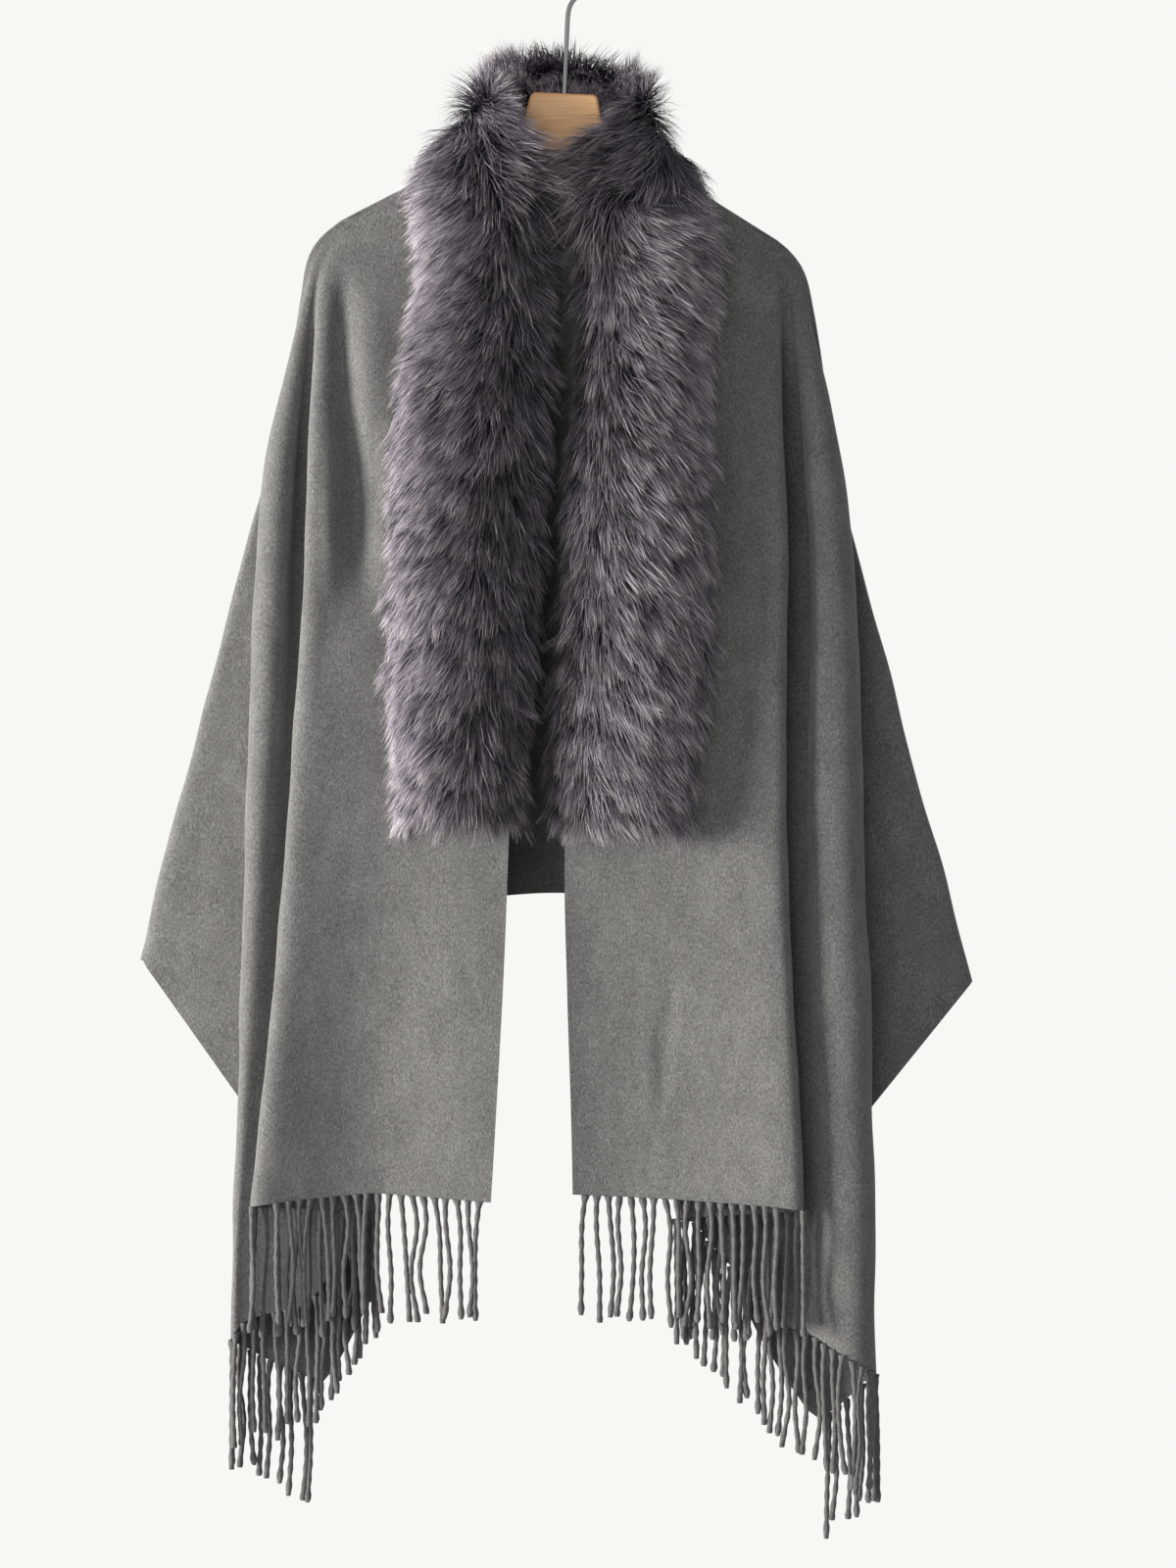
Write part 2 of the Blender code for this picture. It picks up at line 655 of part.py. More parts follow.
def fringe(name, path, longest, finish, seed):
    """A strip that follows a stretch of the shawl's end, with its twisted strands hanging from it."""
    random.seed(seed)
    total = sum((end - start).length for start, end in zip(path, path[1:]))
    count = int((total - STRAND_STEP) / STRAND_STEP)
    lead = (total - count * STRAND_STEP) / 2
    strip_end = FRINGE_GAP + BACKING
    points, faces = [], []

    def ring(distance, size_along, size_across, fall, sway=(0.0, 0.0)):
        """Four corners at a distance along the path, and how far below it they lie."""
        along = smooth_direction(path, distance, total)
        across = Vector((along.y, -along.x, 0))
        middle = along_path(path, distance) + along * sway[0] + across * sway[1] - Vector((0, 0, fall))
        first = len(points)
        for a, b in ((-1, -1), (1, -1), (1, 1), (-1, 1)):
            points.append(middle + along * (a * size_along) + across * (b * size_across))
        return [first, first + 1, first + 2, first + 3]

    def bar(distance):
        """Section of the strip: upper and lower corners on both faces."""
        middle = along_path(path, distance)
        along = smooth_direction(path, distance, total)
        across = Vector((along.y, -along.x, 0)) * (CLOTH / 2)
        first = len(points)
        for fall, turn in ((FRINGE_GAP, 1), (strip_end, 1), (strip_end, -1), (FRINGE_GAP, -1)):
            points.append(middle + across * turn - Vector((0, 0, fall)))
        return [first, first + 1, first + 2, first + 3]

    corners = [sum((end - start).length for start, end in zip(path[:n], path[1:])) for n in range(1, len(path) - 1)]
    pieces, reached = [], 0.0
    for k in range(count + 1):
        root = lead + (k + 0.5) * STRAND_STEP - STRAND / 2 if k < count else total
        marks = [reached, *(mark for mark in corners if reached + 1 < mark < root - 1), root]
        pieces += [(low, high, False) for low, high in zip(marks, marks[1:])]
        reached = root + STRAND
        if k < count:
            pieces.append((root, reached, True))
    bars = [bar(low) for low, _, _ in pieces] + [bar(total)]
    faces.append(tuple(bars[0]))
    faces.append(tuple(reversed(bars[-1])))
    for (start, end, rooted), low, high in zip(pieces, bars, bars[1:]):
        for a in range(4):
            b = (a + 1) % 4
            if a != 1 or not rooted:
                faces.append((low[a], high[a], high[b], low[b]))
        if rooted:
            length = longest * random.uniform(0.93, 1.05)
            side_sway, depth_sway = random.uniform(-1.8, 1.8), random.uniform(-0.8, 0.8)
            bend = random.uniform(-1.0, 1.0)
            above = [low[2], high[2], high[1], low[1]]
            for share, size in STRAND_RINGS:
                sway = (side_sway * share + bend * math.sin(math.pi * share), depth_sway * share)
                fall = strip_end + share * (length - BACKING)
                below = ring((start + end) / 2, STRAND / 2 * size, STRAND / 2 * size, fall, sway)
                for a in range(4):
                    b = (a + 1) % 4
                    faces.append((above[a], above[b], below[b], below[a]))
                above = below
            faces.append(tuple(above))
    return outward(add(name, points, faces, finish, smooth=False))


def hanger_body(finish):
    """The flat wooden body, with its edges rounded, hanging a little askew."""
    right = [Vector((point.out, -point.drop)) for point in HANGER_OUTLINE]
    left = [Vector((-point.x, point.y)) for point in reversed(right)]
    outline_points = right + left
    count = len(outline_points)
    rings = []
    for y, inset in WOOD_RINGS:
        ring = []
        for index, point in enumerate(outline_points):
            before, after = outline_points[index - 1], outline_points[(index + 1) % count]
            into = (point - before).normalized()
            out_of = (after - point).normalized()
            inward = Vector((into.y + out_of.y, -(into.x + out_of.x))).normalized()
            mitre = inset / max(0.5, inward.dot(Vector((out_of.y, -out_of.x))))
            placed = point + inward * mitre
            out, drop = tilted(placed.x, -placed.y, RIGHT)
            ring.append(Vector((out, y, -drop)))
        rings.append(ring)
    return lofted("hanger_wood", rings, finish)


def hanger_hook(finish):
    """The steel wire: a straight stem that turns into the hook."""
    radius = HOOK_RADIUS + WIRE / 2
    join = math.radians(HOOK_JOIN_DEG)
    centre = Vector((0, 0, -HOOK_RADIUS))
    start = Vector((0, 0, -HOOK_STEM_TOP))
    end = centre + radius * Vector((math.cos(join), 0, math.sin(join)))
    pull = (end - start).length * HOOK_BEND
    first_handle = start + Vector((0, 0, pull))
    last_handle = end - pull * Vector((-math.sin(join), 0, math.cos(join)))
    route = [Vector((0, 0, -(PLATE_TOP - SEAM)))]
    for n in range(HOOK_STEPS + 1):
        t = n / HOOK_STEPS
        route.append(
            start * (1 - t) ** 3
            + first_handle * 3 * t * (1 - t) ** 2
            + last_handle * 3 * t**2 * (1 - t)
            + end * t**3
        )
    last = math.radians(HOOK_END_DEG)
    for n in range(1, 3 * HOOK_STEPS + 1):
        turn = join + (last - join) * n / (3 * HOOK_STEPS)
        route.append(centre + radius * Vector((math.cos(turn), 0, math.sin(turn))))
    curve = bpy.data.curves.new("hanger_hook", "CURVE")
    curve.dimensions = "3D"
    curve.bevel_depth = WIRE / 2 * MM
    curve.bevel_resolution = 2
    curve.use_fill_caps = True
    spline = curve.splines.new("POLY")
    spline.points.add(len(route) - 1)
    for target, point in zip(spline.points, route):
        target.co = (*(point * MM), 1)
    curve.materials.append(finish)
    made = bpy.data.objects.new("hanger_hook", curve)
    made.rotation_euler = (0, HANGER_TILT, 0)
    bpy.context.scene.collection.objects.link(made)
    return made


def front_places(side):
    """Places of the three front stretches of one side, counted from its front edge. Seams lie on level cloth."""
    side_end = WING_SEAM
    main = [float(n) for n in range(len(PANEL_LEVELS) + 1)]
    strip = [*steps(PLACE["main_near"], PLACE["main_back"] + 0.5, 6), PLACE["tuck1_mid"] + 0.2]
    strip += steps(PLACE["tuck1_front"], PLACE["tuck1_back"] + 0.5, 5)
    strip += [*steps(PLACE["strip_mid"], PLACE["strip_back"] + 0.5, 6), CORNER_AT[side]]
    strip += [*steps(PLACE["tuck2_front"], PLACE["tuck2_back"], 3), side_end]
    wing = [side_end, PLACE["wing_mid"] + 0.4]
    wing += [*steps(PLACE["wing_near"], PLACE["fold_back"] + 0.5, 6), FOLD_SEAM]
    return main, strip, wing


def main():
    for old in list(bpy.data.objects):
        bpy.data.objects.remove(old)
    cloth = material("grey_wool", (0.15, 0.145, 0.14), 0.95)
    strands = material("wool_fringe", (0.17, 0.165, 0.16), 0.95)
    fur = material("faux_fur", (0.13, 0.115, 0.13), 0.9)
    wood = material("beech", (0.68, 0.44, 0.24), 0.5)
    steel = material("steel_wire", (0.6, 0.6, 0.6), 0.3, 1.0)

    top_rings = {}
    for side in (LEFT, RIGHT):
        label = SIDE_NAMES[side]
        grids = []
        for places in front_places(side):
            if side == RIGHT:
                places = [SECTION_END - place for place in reversed(places)]
            grids.append(stretch(places))
        for kind, grid in zip(("front", "side", "wing"), grids):
            sheet(f"shawl_{kind}_{label}", grid, cloth)
        panel, strip, _ = grids
        if side == RIGHT:
            panel, strip = panel[::-1], strip[::-1]
        fringe(f"fringe_front_{label}", [line[-1].middle for line in panel], FRINGE_LENGTH, strands, 11 + side)
        to_corner = len(strip) - COLUMNS_PAST_CORNER
        fringe(f"fringe_side_{label}", [line[-1].middle for line in strip[:to_corner]], FRINGE_LENGTH, strands, 17 + side)
        rings = fur_front_rings(side, panel)
        lofted(f"fur_{label}", rings, fur)
        top_rings[side] = rings[0]

    sheet("shawl_back", stretch(steps(FOLD_SEAM, SECTION_END - FOLD_SEAM, BACK_COLUMNS)), cloth)
    lofted("fur_neck", neck_rings(top_rings[LEFT], top_rings[RIGHT]), fur)
    hanger_body(wood)
    hanger_hook(steel)


main()
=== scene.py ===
"""A grey wool shawl with twisted fringe and a faux fur collar, hanging centre back on a flat beech hanger.

Metres, +Z up, +X to the right as seen from the front and -Y towards the front; the origin is the inside top
of the hook. Tables are in millimetres, as a maker would note them: "drop" is the height below the origin
and "out" the distance from the centre line towards the side in hand.
"""

import logging
import math
from dataclasses import dataclass, field
from enum import Enum
from typing import Any, Iterable, NamedTuple, Sequence

import bpy
import numpy as np
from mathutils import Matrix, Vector


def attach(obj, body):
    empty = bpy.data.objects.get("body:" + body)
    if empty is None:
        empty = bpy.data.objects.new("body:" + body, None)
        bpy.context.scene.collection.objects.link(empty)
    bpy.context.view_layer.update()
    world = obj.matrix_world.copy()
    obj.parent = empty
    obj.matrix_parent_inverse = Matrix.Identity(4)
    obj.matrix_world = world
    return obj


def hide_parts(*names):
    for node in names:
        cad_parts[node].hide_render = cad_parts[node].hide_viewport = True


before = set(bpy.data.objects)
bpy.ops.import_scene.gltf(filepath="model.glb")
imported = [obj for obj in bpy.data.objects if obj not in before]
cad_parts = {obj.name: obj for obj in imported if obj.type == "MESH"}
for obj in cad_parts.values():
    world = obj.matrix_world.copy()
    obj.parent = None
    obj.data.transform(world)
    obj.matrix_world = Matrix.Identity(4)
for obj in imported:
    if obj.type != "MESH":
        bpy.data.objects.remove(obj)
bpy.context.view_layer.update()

LOG = logging.getLogger("shawl")
MM = 0.001
BODY = "root"
SEED = 20
SHARP_ANGLE = math.radians(60)  # edges that bend more than this stay sharp


class Side(Enum):
    """The two sides as seen from the front. The value is the sign of x there."""

    LEFT = -1
    RIGHT = 1

    @property
    def label(self) -> str:
        """The side's name in piece names."""
        return self.name.lower()


# ------------------------------------------------------------------------------------------- tables


class HangerPoint(NamedTuple):
    """A point of the hanger's half outline, before it hangs askew."""

    out: float
    drop: float


class Outline(NamedTuple):
    """How far out the cloth's edge and its folds stand at a drop."""

    drop: float
    inner: float
    main: float
    strip: float
    wing: float


class Fullness(NamedTuple):
    """How the cloth is folded at a drop: depth of the hidden tucks, how far in front the panels hang, how
    far the layers stand apart, how much of the folding is there, and how hollow the panels are."""

    drop: float
    tuck: float
    front: float
    spread: float
    folded: float
    hollow: float


class Station(NamedTuple):
    """A turning point of a section: the outline it stands on, the share of the way there, what comes off it
    in millimetres and in tuck depths, how far behind the front roll it lies, and how far fullness lifts it.
    """

    name: str
    to: str
    along: float
    inset: float
    tuck: float
    level: float
    rise: float = 0


class Swell(NamedTuple):
    """A soft ridge or valley down a front panel: its two ends, half its width, and how far it stands out."""

    side: Side
    drop_from: float
    drop_to: float
    out_from: float
    out_to: float
    width: float
    height: float


class BackFold(NamedTuple):
    """A soft fold down the back, placed from the left wing (-1) to the right wing (1)."""

    across: float
    width: float
    drop_from: float
    depth: float


class Hem(NamedTuple):
    """The cloth's lower edge at a place of the section."""

    place: float
    drop: float


class WingHem(NamedTuple):
    """The lower edge of a wing: a straight line in the front view, from its tip to the tuck."""

    tip_out: float
    tip_drop: float
    tuck_out: float
    tuck_drop: float


class FurRow(NamedTuple):
    """Reach of the fur's tips at a drop, and how far it stands out."""

    drop: float
    inner: float
    outer: float
    deep: float


class NeckRow(NamedTuple):
    """A station of the collar round the neck, in the hanger's own frame: the middle of its base, half its
    reach, how far it stands out, and the way it faces."""

    out: float
    back: float
    drop: float
    half: float
    deep: float
    face_out: float
    face_back: float
    face_drop: float


HANGER_TILT = math.radians(2.5)
ARM_TOP = (HangerPoint(50.0, 168.0), HangerPoint(172.0, 237.6))  # ends of the straight top of an arm
CLOTH = 2.0  # thickness of the wool cloth
REST = 0.5  # from the wood to the cloth on it, and from the cloth to the fur on it
BACK_NECK_DROP = 135.0  # upper edge of the cloth at the centre back
TOP_DROP = 175.0  # upper edge over the fronts
BACK_HEM_DROP = 834.0
RIDGE = 8.0  # half the depth of the cloth where it lies over an arm
CREST_MARGIN = 22.0  # from the crest over the arm to the panel's roll, at most
CREST_SHARE = 0.4  # the same as a share of the panel's width
LIP = 3.0  # from the flat panel's edge to its roll, where nothing is folded yet, at most
LIP_SHARE = 0.1  # the same as a share of the panel's width
EASY = 0.7  # exponent of what changes fast at first and slowly later
BACK_SPREAD = 16.0  # how much further back the cloth hangs once its layers stand apart
NECK_EDGE, NECK_SPREAD = 38.0, 0.3  # furthest out of the front edges over the hanger, and their slant there
BACK_POINTS = 21
FOLD_TURN = 8.0
SECOND_TUCK = 1.07  # depth of the tuck beside the wing, in depths of the first tuck
PANEL_LEVELS = (34, 33.5, 32, 30, 26, 20, 12, 4)  # the panel hollows from its outer roll to its front edge
STRIP_ROOM = (16.0, 30.0)  # width beside the panel from which the strip rounds, and more until it has

OVER_ARM_ROWS = 3  # the first rows of an outline, where the cloth still turns round the hanger's end
OUTLINES = {
    Side.LEFT: (
        Outline(239, 46, 181, 203, 203),
        Outline(254, 46, 198, 221, 217),
        Outline(267, 45, 208, 230, 224),
        Outline(305, 44, 220, 240, 232),
        Outline(365, 42, 225, 253, 248),
        Outline(460, 41, 230, 270, 270),
        Outline(540, 42, 232, 277, 293),
        Outline(660, 46, 239, 282, 324),
        Outline(774, 53, 248, 286, 355),
        Outline(880, 57, 256, 289, 380),
        Outline(1047, 66, 273, 293, 423),
        Outline(1117, 70, 280, 296, 441),
        Outline(1230, 72, 284, 298, 470),
        Outline(1300, 72, 284, 298, 488),
    ),
    Side.RIGHT: (
        Outline(255, 18, 160, 181, 181),
        Outline(266, 17, 173, 194, 192),
        Outline(282, 16, 178, 206, 202),
        Outline(316, 15, 181, 216, 212),
        Outline(359, 15, 183, 225, 221),
        Outline(456, 12, 187, 240, 236),
        Outline(529, 9, 190, 249, 254),
        Outline(662, 2, 188, 256, 291),
        Outline(746, -3, 188, 258, 312),
        Outline(822, -5, 190, 260, 334),
        Outline(912, -3, 194, 264, 358),
        Outline(1045, 1, 202, 267, 392),
        Outline(1101, 2, 204, 268, 406),
        Outline(1230, 3, 208, 269, 439),
        Outline(1300, 3, 208, 272, 457),
    ),
}

FULLNESS = (
    Fullness(150, 0, 8.0, 0, 0, 0),
    Fullness(245, 0, 8.5, 0, 0, 0),
    Fullness(275, 0, 12.0, 0.2, 0.1, 0.1),
    Fullness(305, 2, 18.0, 0.42, 0.28, 0.15),
    Fullness(345, 6, 27.0, 0.66, 0.55, 0.2),
    Fullness(400, 12, 38.0, 0.85, 0.85, 0.25),
    Fullness(480, 20, 48.0, 0.96, 1, 0.3),
    Fullness(600, 40, 55.0, 1, 1, 0.35),
    Fullness(822, 77, 58.0, 1, 1, 0.6),
    Fullness(1105, 114, 58.0, 1, 1, 1),
    Fullness(1200, 120, 58.0, 1, 1, 1),
    Fullness(1300, 120, 58.0, 1, 1, 1),
)

STATIONS = (
    *(
        Station(f"panel_{n}", "main", n / len(PANEL_LEVELS), 0, 0, level)
        for n, level in enumerate(PANEL_LEVELS)
    ),
    Station("main_near", "main", 1, 14, 0, 0),
    Station("main_front", "main", 1, 0, 0, 0),
    Station("main_back", "main", 1, 0, 0, 18),
    Station("tuck1_mid", "main", 1, 0, 0.5, 28),
    Station("tuck1_front", "main", 1, 0, 1, 36),
    Station("tuck1_back", "main", 1, 0, 1, 45),
    Station("strip_mid", "strip", 1, 14, 0.4, 42),
    Station("strip_in", "fold", 0.25, 0, 0, 32, 12),
    Station("strip_crest", "fold", 0.62, 0, 0, 28, 18),
    Station("strip_front", "strip", 1, 0, 0, 26, 8),
    Station("strip_back", "strip", 1, 0, 0, 52),
    Station("tuck2_mid", "strip", 1, 0, 0.5, 58),
    Station("tuck2_front", "strip", 1, 0, SECOND_TUCK, 60),
    Station("tuck2_back", "strip", 1, 0, SECOND_TUCK, 67),
    Station("wing_in", "wing", 0.33, 0, 0, 68),
    Station("wing_mid", "wing", 0.66, 0, 0, 69),
    Station("wing_near", "wing", 0.88, 0, 0, 69),
    Station("fold_front", "wing", 1, 0, 0, 69),
    Station("fold_back", "wing", 1, 0, 0, 83),
)
PLACE = {station.name: index for index, station in enumerate(STATIONS)}
FRONT_COUNT = len(STATIONS)
SECTION_END = 2 * FRONT_COUNT + BACK_POINTS - 1
CORNER_AT = {Side.LEFT: PLACE["tuck2_mid"] + 0.3, Side.RIGHT: PLACE["tuck2_mid"] - 0.1}

# Ridges of the front panels, above zero, and their valleys, below it
SWELLS = (
    Swell(Side.LEFT, 285, 620, 204, 176, 24, -17),
    Swell(Side.LEFT, 290, 560, 182, 160, 20, 11),
    Swell(Side.LEFT, 300, 700, 228, 206, 16, -5),
    Swell(Side.LEFT, 640, 1500, 56, 64, 150, 26),
    Swell(Side.RIGHT, 300, 640, 152, 140, 24, -10),
    Swell(Side.RIGHT, 860, 1090, 92, 70, 9, 2.5),
    Swell(Side.RIGHT, 900, 1100, 70, 84, 8, -2),
)

# Creases too narrow for the section's turning points, laid on the finished front panels
CREASES = (
    Swell(Side.LEFT, 262, 580, 208, 180, 17, -11),
    Swell(Side.LEFT, 300, 600, 232, 206, 13, 4),
    Swell(Side.LEFT, 330, 660, 248, 222, 12, -4),
    Swell(Side.RIGHT, 290, 660, 150, 138, 18, -6),
    Swell(Side.RIGHT, 860, 1090, 94, 70, 8, -1.8),
    Swell(Side.RIGHT, 900, 1095, 62, 80, 7, 1.5),
)

BACK_FOLDS = (
    BackFold(-0.74, 0.17, 330, 44),
    BackFold(-0.37, 0.18, 400, 55),
    BackFold(0.02, 0.16, 460, 39),
    BackFold(0.4, 0.19, 380, 57),
    BackFold(0.76, 0.16, 320, 42),
)

HEMS = {
    Side.LEFT: (
        Hem(0, 1101),
        Hem(PLACE["panel_4"], 1094),
        Hem(PLACE["main_front"], 1104),
        Hem(PLACE["main_back"], 1106),
        Hem(PLACE["tuck1_front"], 1112),
        Hem(PLACE["tuck1_back"], 1114),
        Hem(PLACE["strip_mid"], 1196),
        Hem(PLACE["strip_front"], 1224),
        Hem(PLACE["strip_back"], 1232),
        Hem(CORNER_AT[Side.LEFT], 1267),
        Hem(PLACE["tuck2_front"], 1196),
        Hem(PLACE["tuck2_back"], 1191),
    ),
    Side.RIGHT: (
        Hem(0, 1097),
        Hem(PLACE["panel_4"], 1101),
        Hem(PLACE["main_front"], 1107),
        Hem(PLACE["main_back"], 1110),
        Hem(PLACE["tuck1_front"], 1118),
        Hem(PLACE["tuck1_back"], 1121),
        Hem(PLACE["strip_mid"], 1214),
        Hem(PLACE["strip_front"], 1252),
        Hem(PLACE["strip_back"], 1262),
        Hem(CORNER_AT[Side.RIGHT], 1301),
        Hem(PLACE["tuck2_front"], 1190),
        Hem(PLACE["tuck2_back"], 1181),
    ),
}
HEM_ROUNDS = 30  # rounds that bring a wing's lower edge onto its straight line
WING_HEMS = {Side.LEFT: WingHem(381, 893, 169, 1191), Side.RIGHT: WingHem(357, 912, 140, 1181)}

FUR_ROWS = {
    Side.LEFT: (
        FurRow(262, 14, 137, 56),
        FurRow(300, 13, 136, 58),
        FurRow(345, 13, 146, 60),
        FurRow(392, 13, 157, 62),
        FurRow(480, 17, 161, 64),
        FurRow(600, 24, 163, 64),
        FurRow(700, 35, 158, 62),
        FurRow(770, 38, 155, 56),
        FurRow(796, 48, 142, 34),
    ),
    Side.RIGHT: (
        FurRow(262, 4, 138, 56),
        FurRow(300, 6, 134, 58),
        FurRow(345, 3, 128, 60),
        FurRow(392, 0, 126, 62),
        FurRow(480, -9, 126, 64),
        FurRow(600, -14, 130, 64),
        FurRow(700, -24, 117, 62),
        FurRow(770, -20, 110, 56),
        FurRow(796, -12, 86, 34),
    ),
}

NECK_ROWS = (
    NeckRow(81, -12.5, 232, 63, 56, 0.0, -1.0, 0.0),
    NeckRow(84.5, -14.0, 205, 61.5, 54, 0.10, -0.95, -0.30),
    NeckRow(85, -11.0, 183, 59, 48, 0.30, -0.65, -0.70),
    NeckRow(86, 1.0, 173, 52, 39, 0.50, 0.0, -0.87),
    NeckRow(76, 18.0, 159, 44, 36, 0.42, 0.60, -0.68),
    NeckRow(53, 25.0, 139, 41, 40, 0.25, 0.90, -0.36),
    NeckRow(27, 26.0, 124, 40, 43, 0.10, 0.97, -0.20),
)
NECK_MIDDLE = NeckRow(0, 26.0, 119, 40, 43, 0.0, 0.98, -0.18)


# ------------------------------------------------------------------------------------------ helpers


def colour(code: str) -> tuple[float, float, float, float]:
    """Turns an sRGB hex value into Blender's linear colour.

    Args:
        code: Six hex digits after a hash sign.

    Returns:
        Linear red, green, blue and an alpha of 1.
    """
    parts = [int(code[i : i + 2], 16) / 255 for i in (1, 3, 5)]
    linear = [p / 12.92 if p <= 0.04045 else ((p + 0.055) / 1.055) ** 2.4 for p in parts]
    return (*linear, 1.0)


def add_node(
    tree: bpy.types.NodeTree,
    kind: str,
    settings: dict[str, Any] | None = None,
    inputs: dict[str | int, Any] | None = None,
) -> bpy.types.Node:
    """Adds a shader node with its settings and links.

    Args:
        tree: The material's node tree.
        kind: The node's type name.
        settings: Attributes to set on the node.
        inputs: Sockets by name or index, each with a value or the socket that feeds it.

    Returns:
        The new node.
    """
    node = tree.nodes.new(kind)
    for name, value in (settings or {}).items():
        setattr(node, name, value)
    for name, value in (inputs or {}).items():
        if isinstance(value, bpy.types.NodeSocket):
            tree.links.new(value, node.inputs[name])
        else:
            node.inputs[name].default_value = value
    return node


def set_ramp(ramp: bpy.types.ColorRamp, stops: Sequence[tuple[float, str]]) -> None:
    """Gives a colour ramp its stops.

    Args:
        ramp: The ramp to set.
        stops: A position and an sRGB hex value for each stop.
    """
    while len(ramp.elements) > len(stops):
        ramp.elements.remove(ramp.elements[-1])
    while len(ramp.elements) < len(stops):
        ramp.elements.new(1.0)
    for element, (position, code) in zip(ramp.elements, stops):
        element.position = position
        element.color = colour(code)


def new_material(name: str) -> tuple[bpy.types.Material, bpy.types.NodeTree, bpy.types.Node]:
    """Starts a material.

    Args:
        name: The material's name.

    Returns:
        The material, its node tree and its Principled shader.
    """
    made = bpy.data.materials.new(name)
    made.use_nodes = True
    return made, made.node_tree, made.node_tree.nodes["Principled BSDF"]


def mesh_object(name: str, points: np.ndarray, faces: np.ndarray) -> bpy.types.Object:
    """A smooth object from arrays, riding on the part's one body.

    Args:
        name: The piece's name.
        points: Positions in millimetres, one row each.
        faces: Corner indices, one row for each face, all with the same number of corners.

    Returns:
        The new object.
    """
    mesh = bpy.data.meshes.new(name)
    mesh.vertices.add(len(points))
    mesh.vertices.foreach_set("co", (points * MM).astype(np.float32).ravel())
    mesh.loops.add(faces.size)
    mesh.loops.foreach_set("vertex_index", faces.astype(np.int32).ravel())
    mesh.polygons.add(len(faces))
    mesh.polygons.foreach_set("loop_start", np.arange(len(faces), dtype=np.int32) * faces.shape[1])
    mesh.update(calc_edges=True)
    mesh.validate()
    mesh.shade_smooth()
    mesh.set_sharp_from_angle(angle=SHARP_ANGLE)
    made = bpy.data.objects.new(name, mesh)
    bpy.context.scene.collection.objects.link(made)
    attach(made, BODY)
    return made


def dress(
    made: bpy.types.Object, finish: bpy.types.Material, nodes: Iterable[str]
) -> bpy.types.Object:
    """Gives a piece its material and hides the nodes of the frame that it stands for.

    Args:
        made: The piece.
        finish: Its material.
        nodes: Names of the frame's nodes that the piece replaces.

    Returns:
        The same piece.
    """
    made.data.materials.clear()
    made.data.materials.append(finish)
    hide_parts(*nodes)
    return made


def smooth_rows(rows: Sequence[Any], name: str, drop: np.ndarray) -> np.ndarray:
    """A named column of a table at given drops, along a monotone cubic curve with its ends held.

    Args:
        rows: The table, in order of its drops.
        name: The column to read.
        drop: Where to read it.

    Returns:
        The values, shaped like drop.
    """
    x = np.array([row.drop for row in rows], float)
    y = np.array([getattr(row, name) for row in rows], float)
    step, slope = np.diff(x), np.diff(y) / np.diff(x)
    tangent = np.zeros_like(y)
    same = slope[:-1] * slope[1:] > 0
    mean = (step[:-1] + step[1:]) / (
        step[1:] / np.where(same, slope[:-1], 1) + step[:-1] / np.where(same, slope[1:], 1)
    )
    tangent[1:-1] = np.where(same, mean, 0)
    tangent[0], tangent[-1] = slope[0], slope[-1]
    at = np.clip(drop, x[0], x[-1])
    i = np.clip(np.searchsorted(x, at) - 1, 0, len(step) - 1)
    t = (at - x[i]) / step[i]
    return (
        y[i] * (1 + 2 * t) * (1 - t) ** 2
        + tangent[i] * step[i] * t * (1 - t) ** 2
        + y[i + 1] * t**2 * (3 - 2 * t)
        + tangent[i + 1] * step[i] * t**2 * (t - 1)
    )


def ease(share: np.ndarray) -> np.ndarray:
    """Smooth step from 0 to 1."""
    held = np.clip(share, 0.0, 1.0)
    return held * held * (3 - 2 * held)


def unit(vectors: np.ndarray) -> np.ndarray:
    """Vectors scaled to length 1 along the last axis."""
    return vectors / np.maximum(np.linalg.norm(vectors, axis=-1, keepdims=True), 1e-9)


def tilted(out: float, drop: float, side: Side) -> tuple[float, float]:
    """Turns a point of the hanger with the hanger, which hangs askew.

    Args:
        out: Its distance from the centre line.
        drop: Its height below the origin.
        side: The side that it lies on.

    Returns:
        Its out and drop once turned.
    """
    x, z = side.value * out, -drop
    turned_x = x * math.cos(HANGER_TILT) + z * math.sin(HANGER_TILT)
    turned_z = z * math.cos(HANGER_TILT) - x * math.sin(HANGER_TILT)
    return side.value * turned_x, -turned_z


def grid_faces(columns: int, rows: int) -> np.ndarray:
    """Quads of a grid whose points are stored column by column.

    Args:
        columns: How many columns the grid has.
        rows: How many points each column has.

    Returns:
        Four corner indices for each quad.
    """
    c, r = np.meshgrid(np.arange(columns - 1), np.arange(rows - 1), indexing="ij")
    low = (c * rows + r).ravel()
    return np.stack([low, low + 1, low + rows + 1, low + rows], axis=1)


NOISE_WAVES = 7
NOISE_PEAK = 4.0  # height that the sum of the waves seldom passes


def soft_noise(points: np.ndarray, size: float, seed: int) -> np.ndarray:
    """Smooth noise from -1 to 1 at points, the sum of a few slow waves in seeded directions.

    Args:
        points: Positions in millimetres.
        size: Length of the longest wave in millimetres.
        seed: Picks the waves.

    Returns:
        One value for each point.
    """
    random = np.random.default_rng(seed)
    total = np.zeros(points.shape[:-1])
    for _ in range(NOISE_WAVES):
        way = unit(random.normal(size=3)) * 2 * math.pi / (size * random.uniform(0.45, 1.0))
        total += np.sin(points @ way + random.uniform(0, 2 * math.pi))
    return total / NOISE_PEAK


# -------------------------------------------------------------------------------------------- cloth


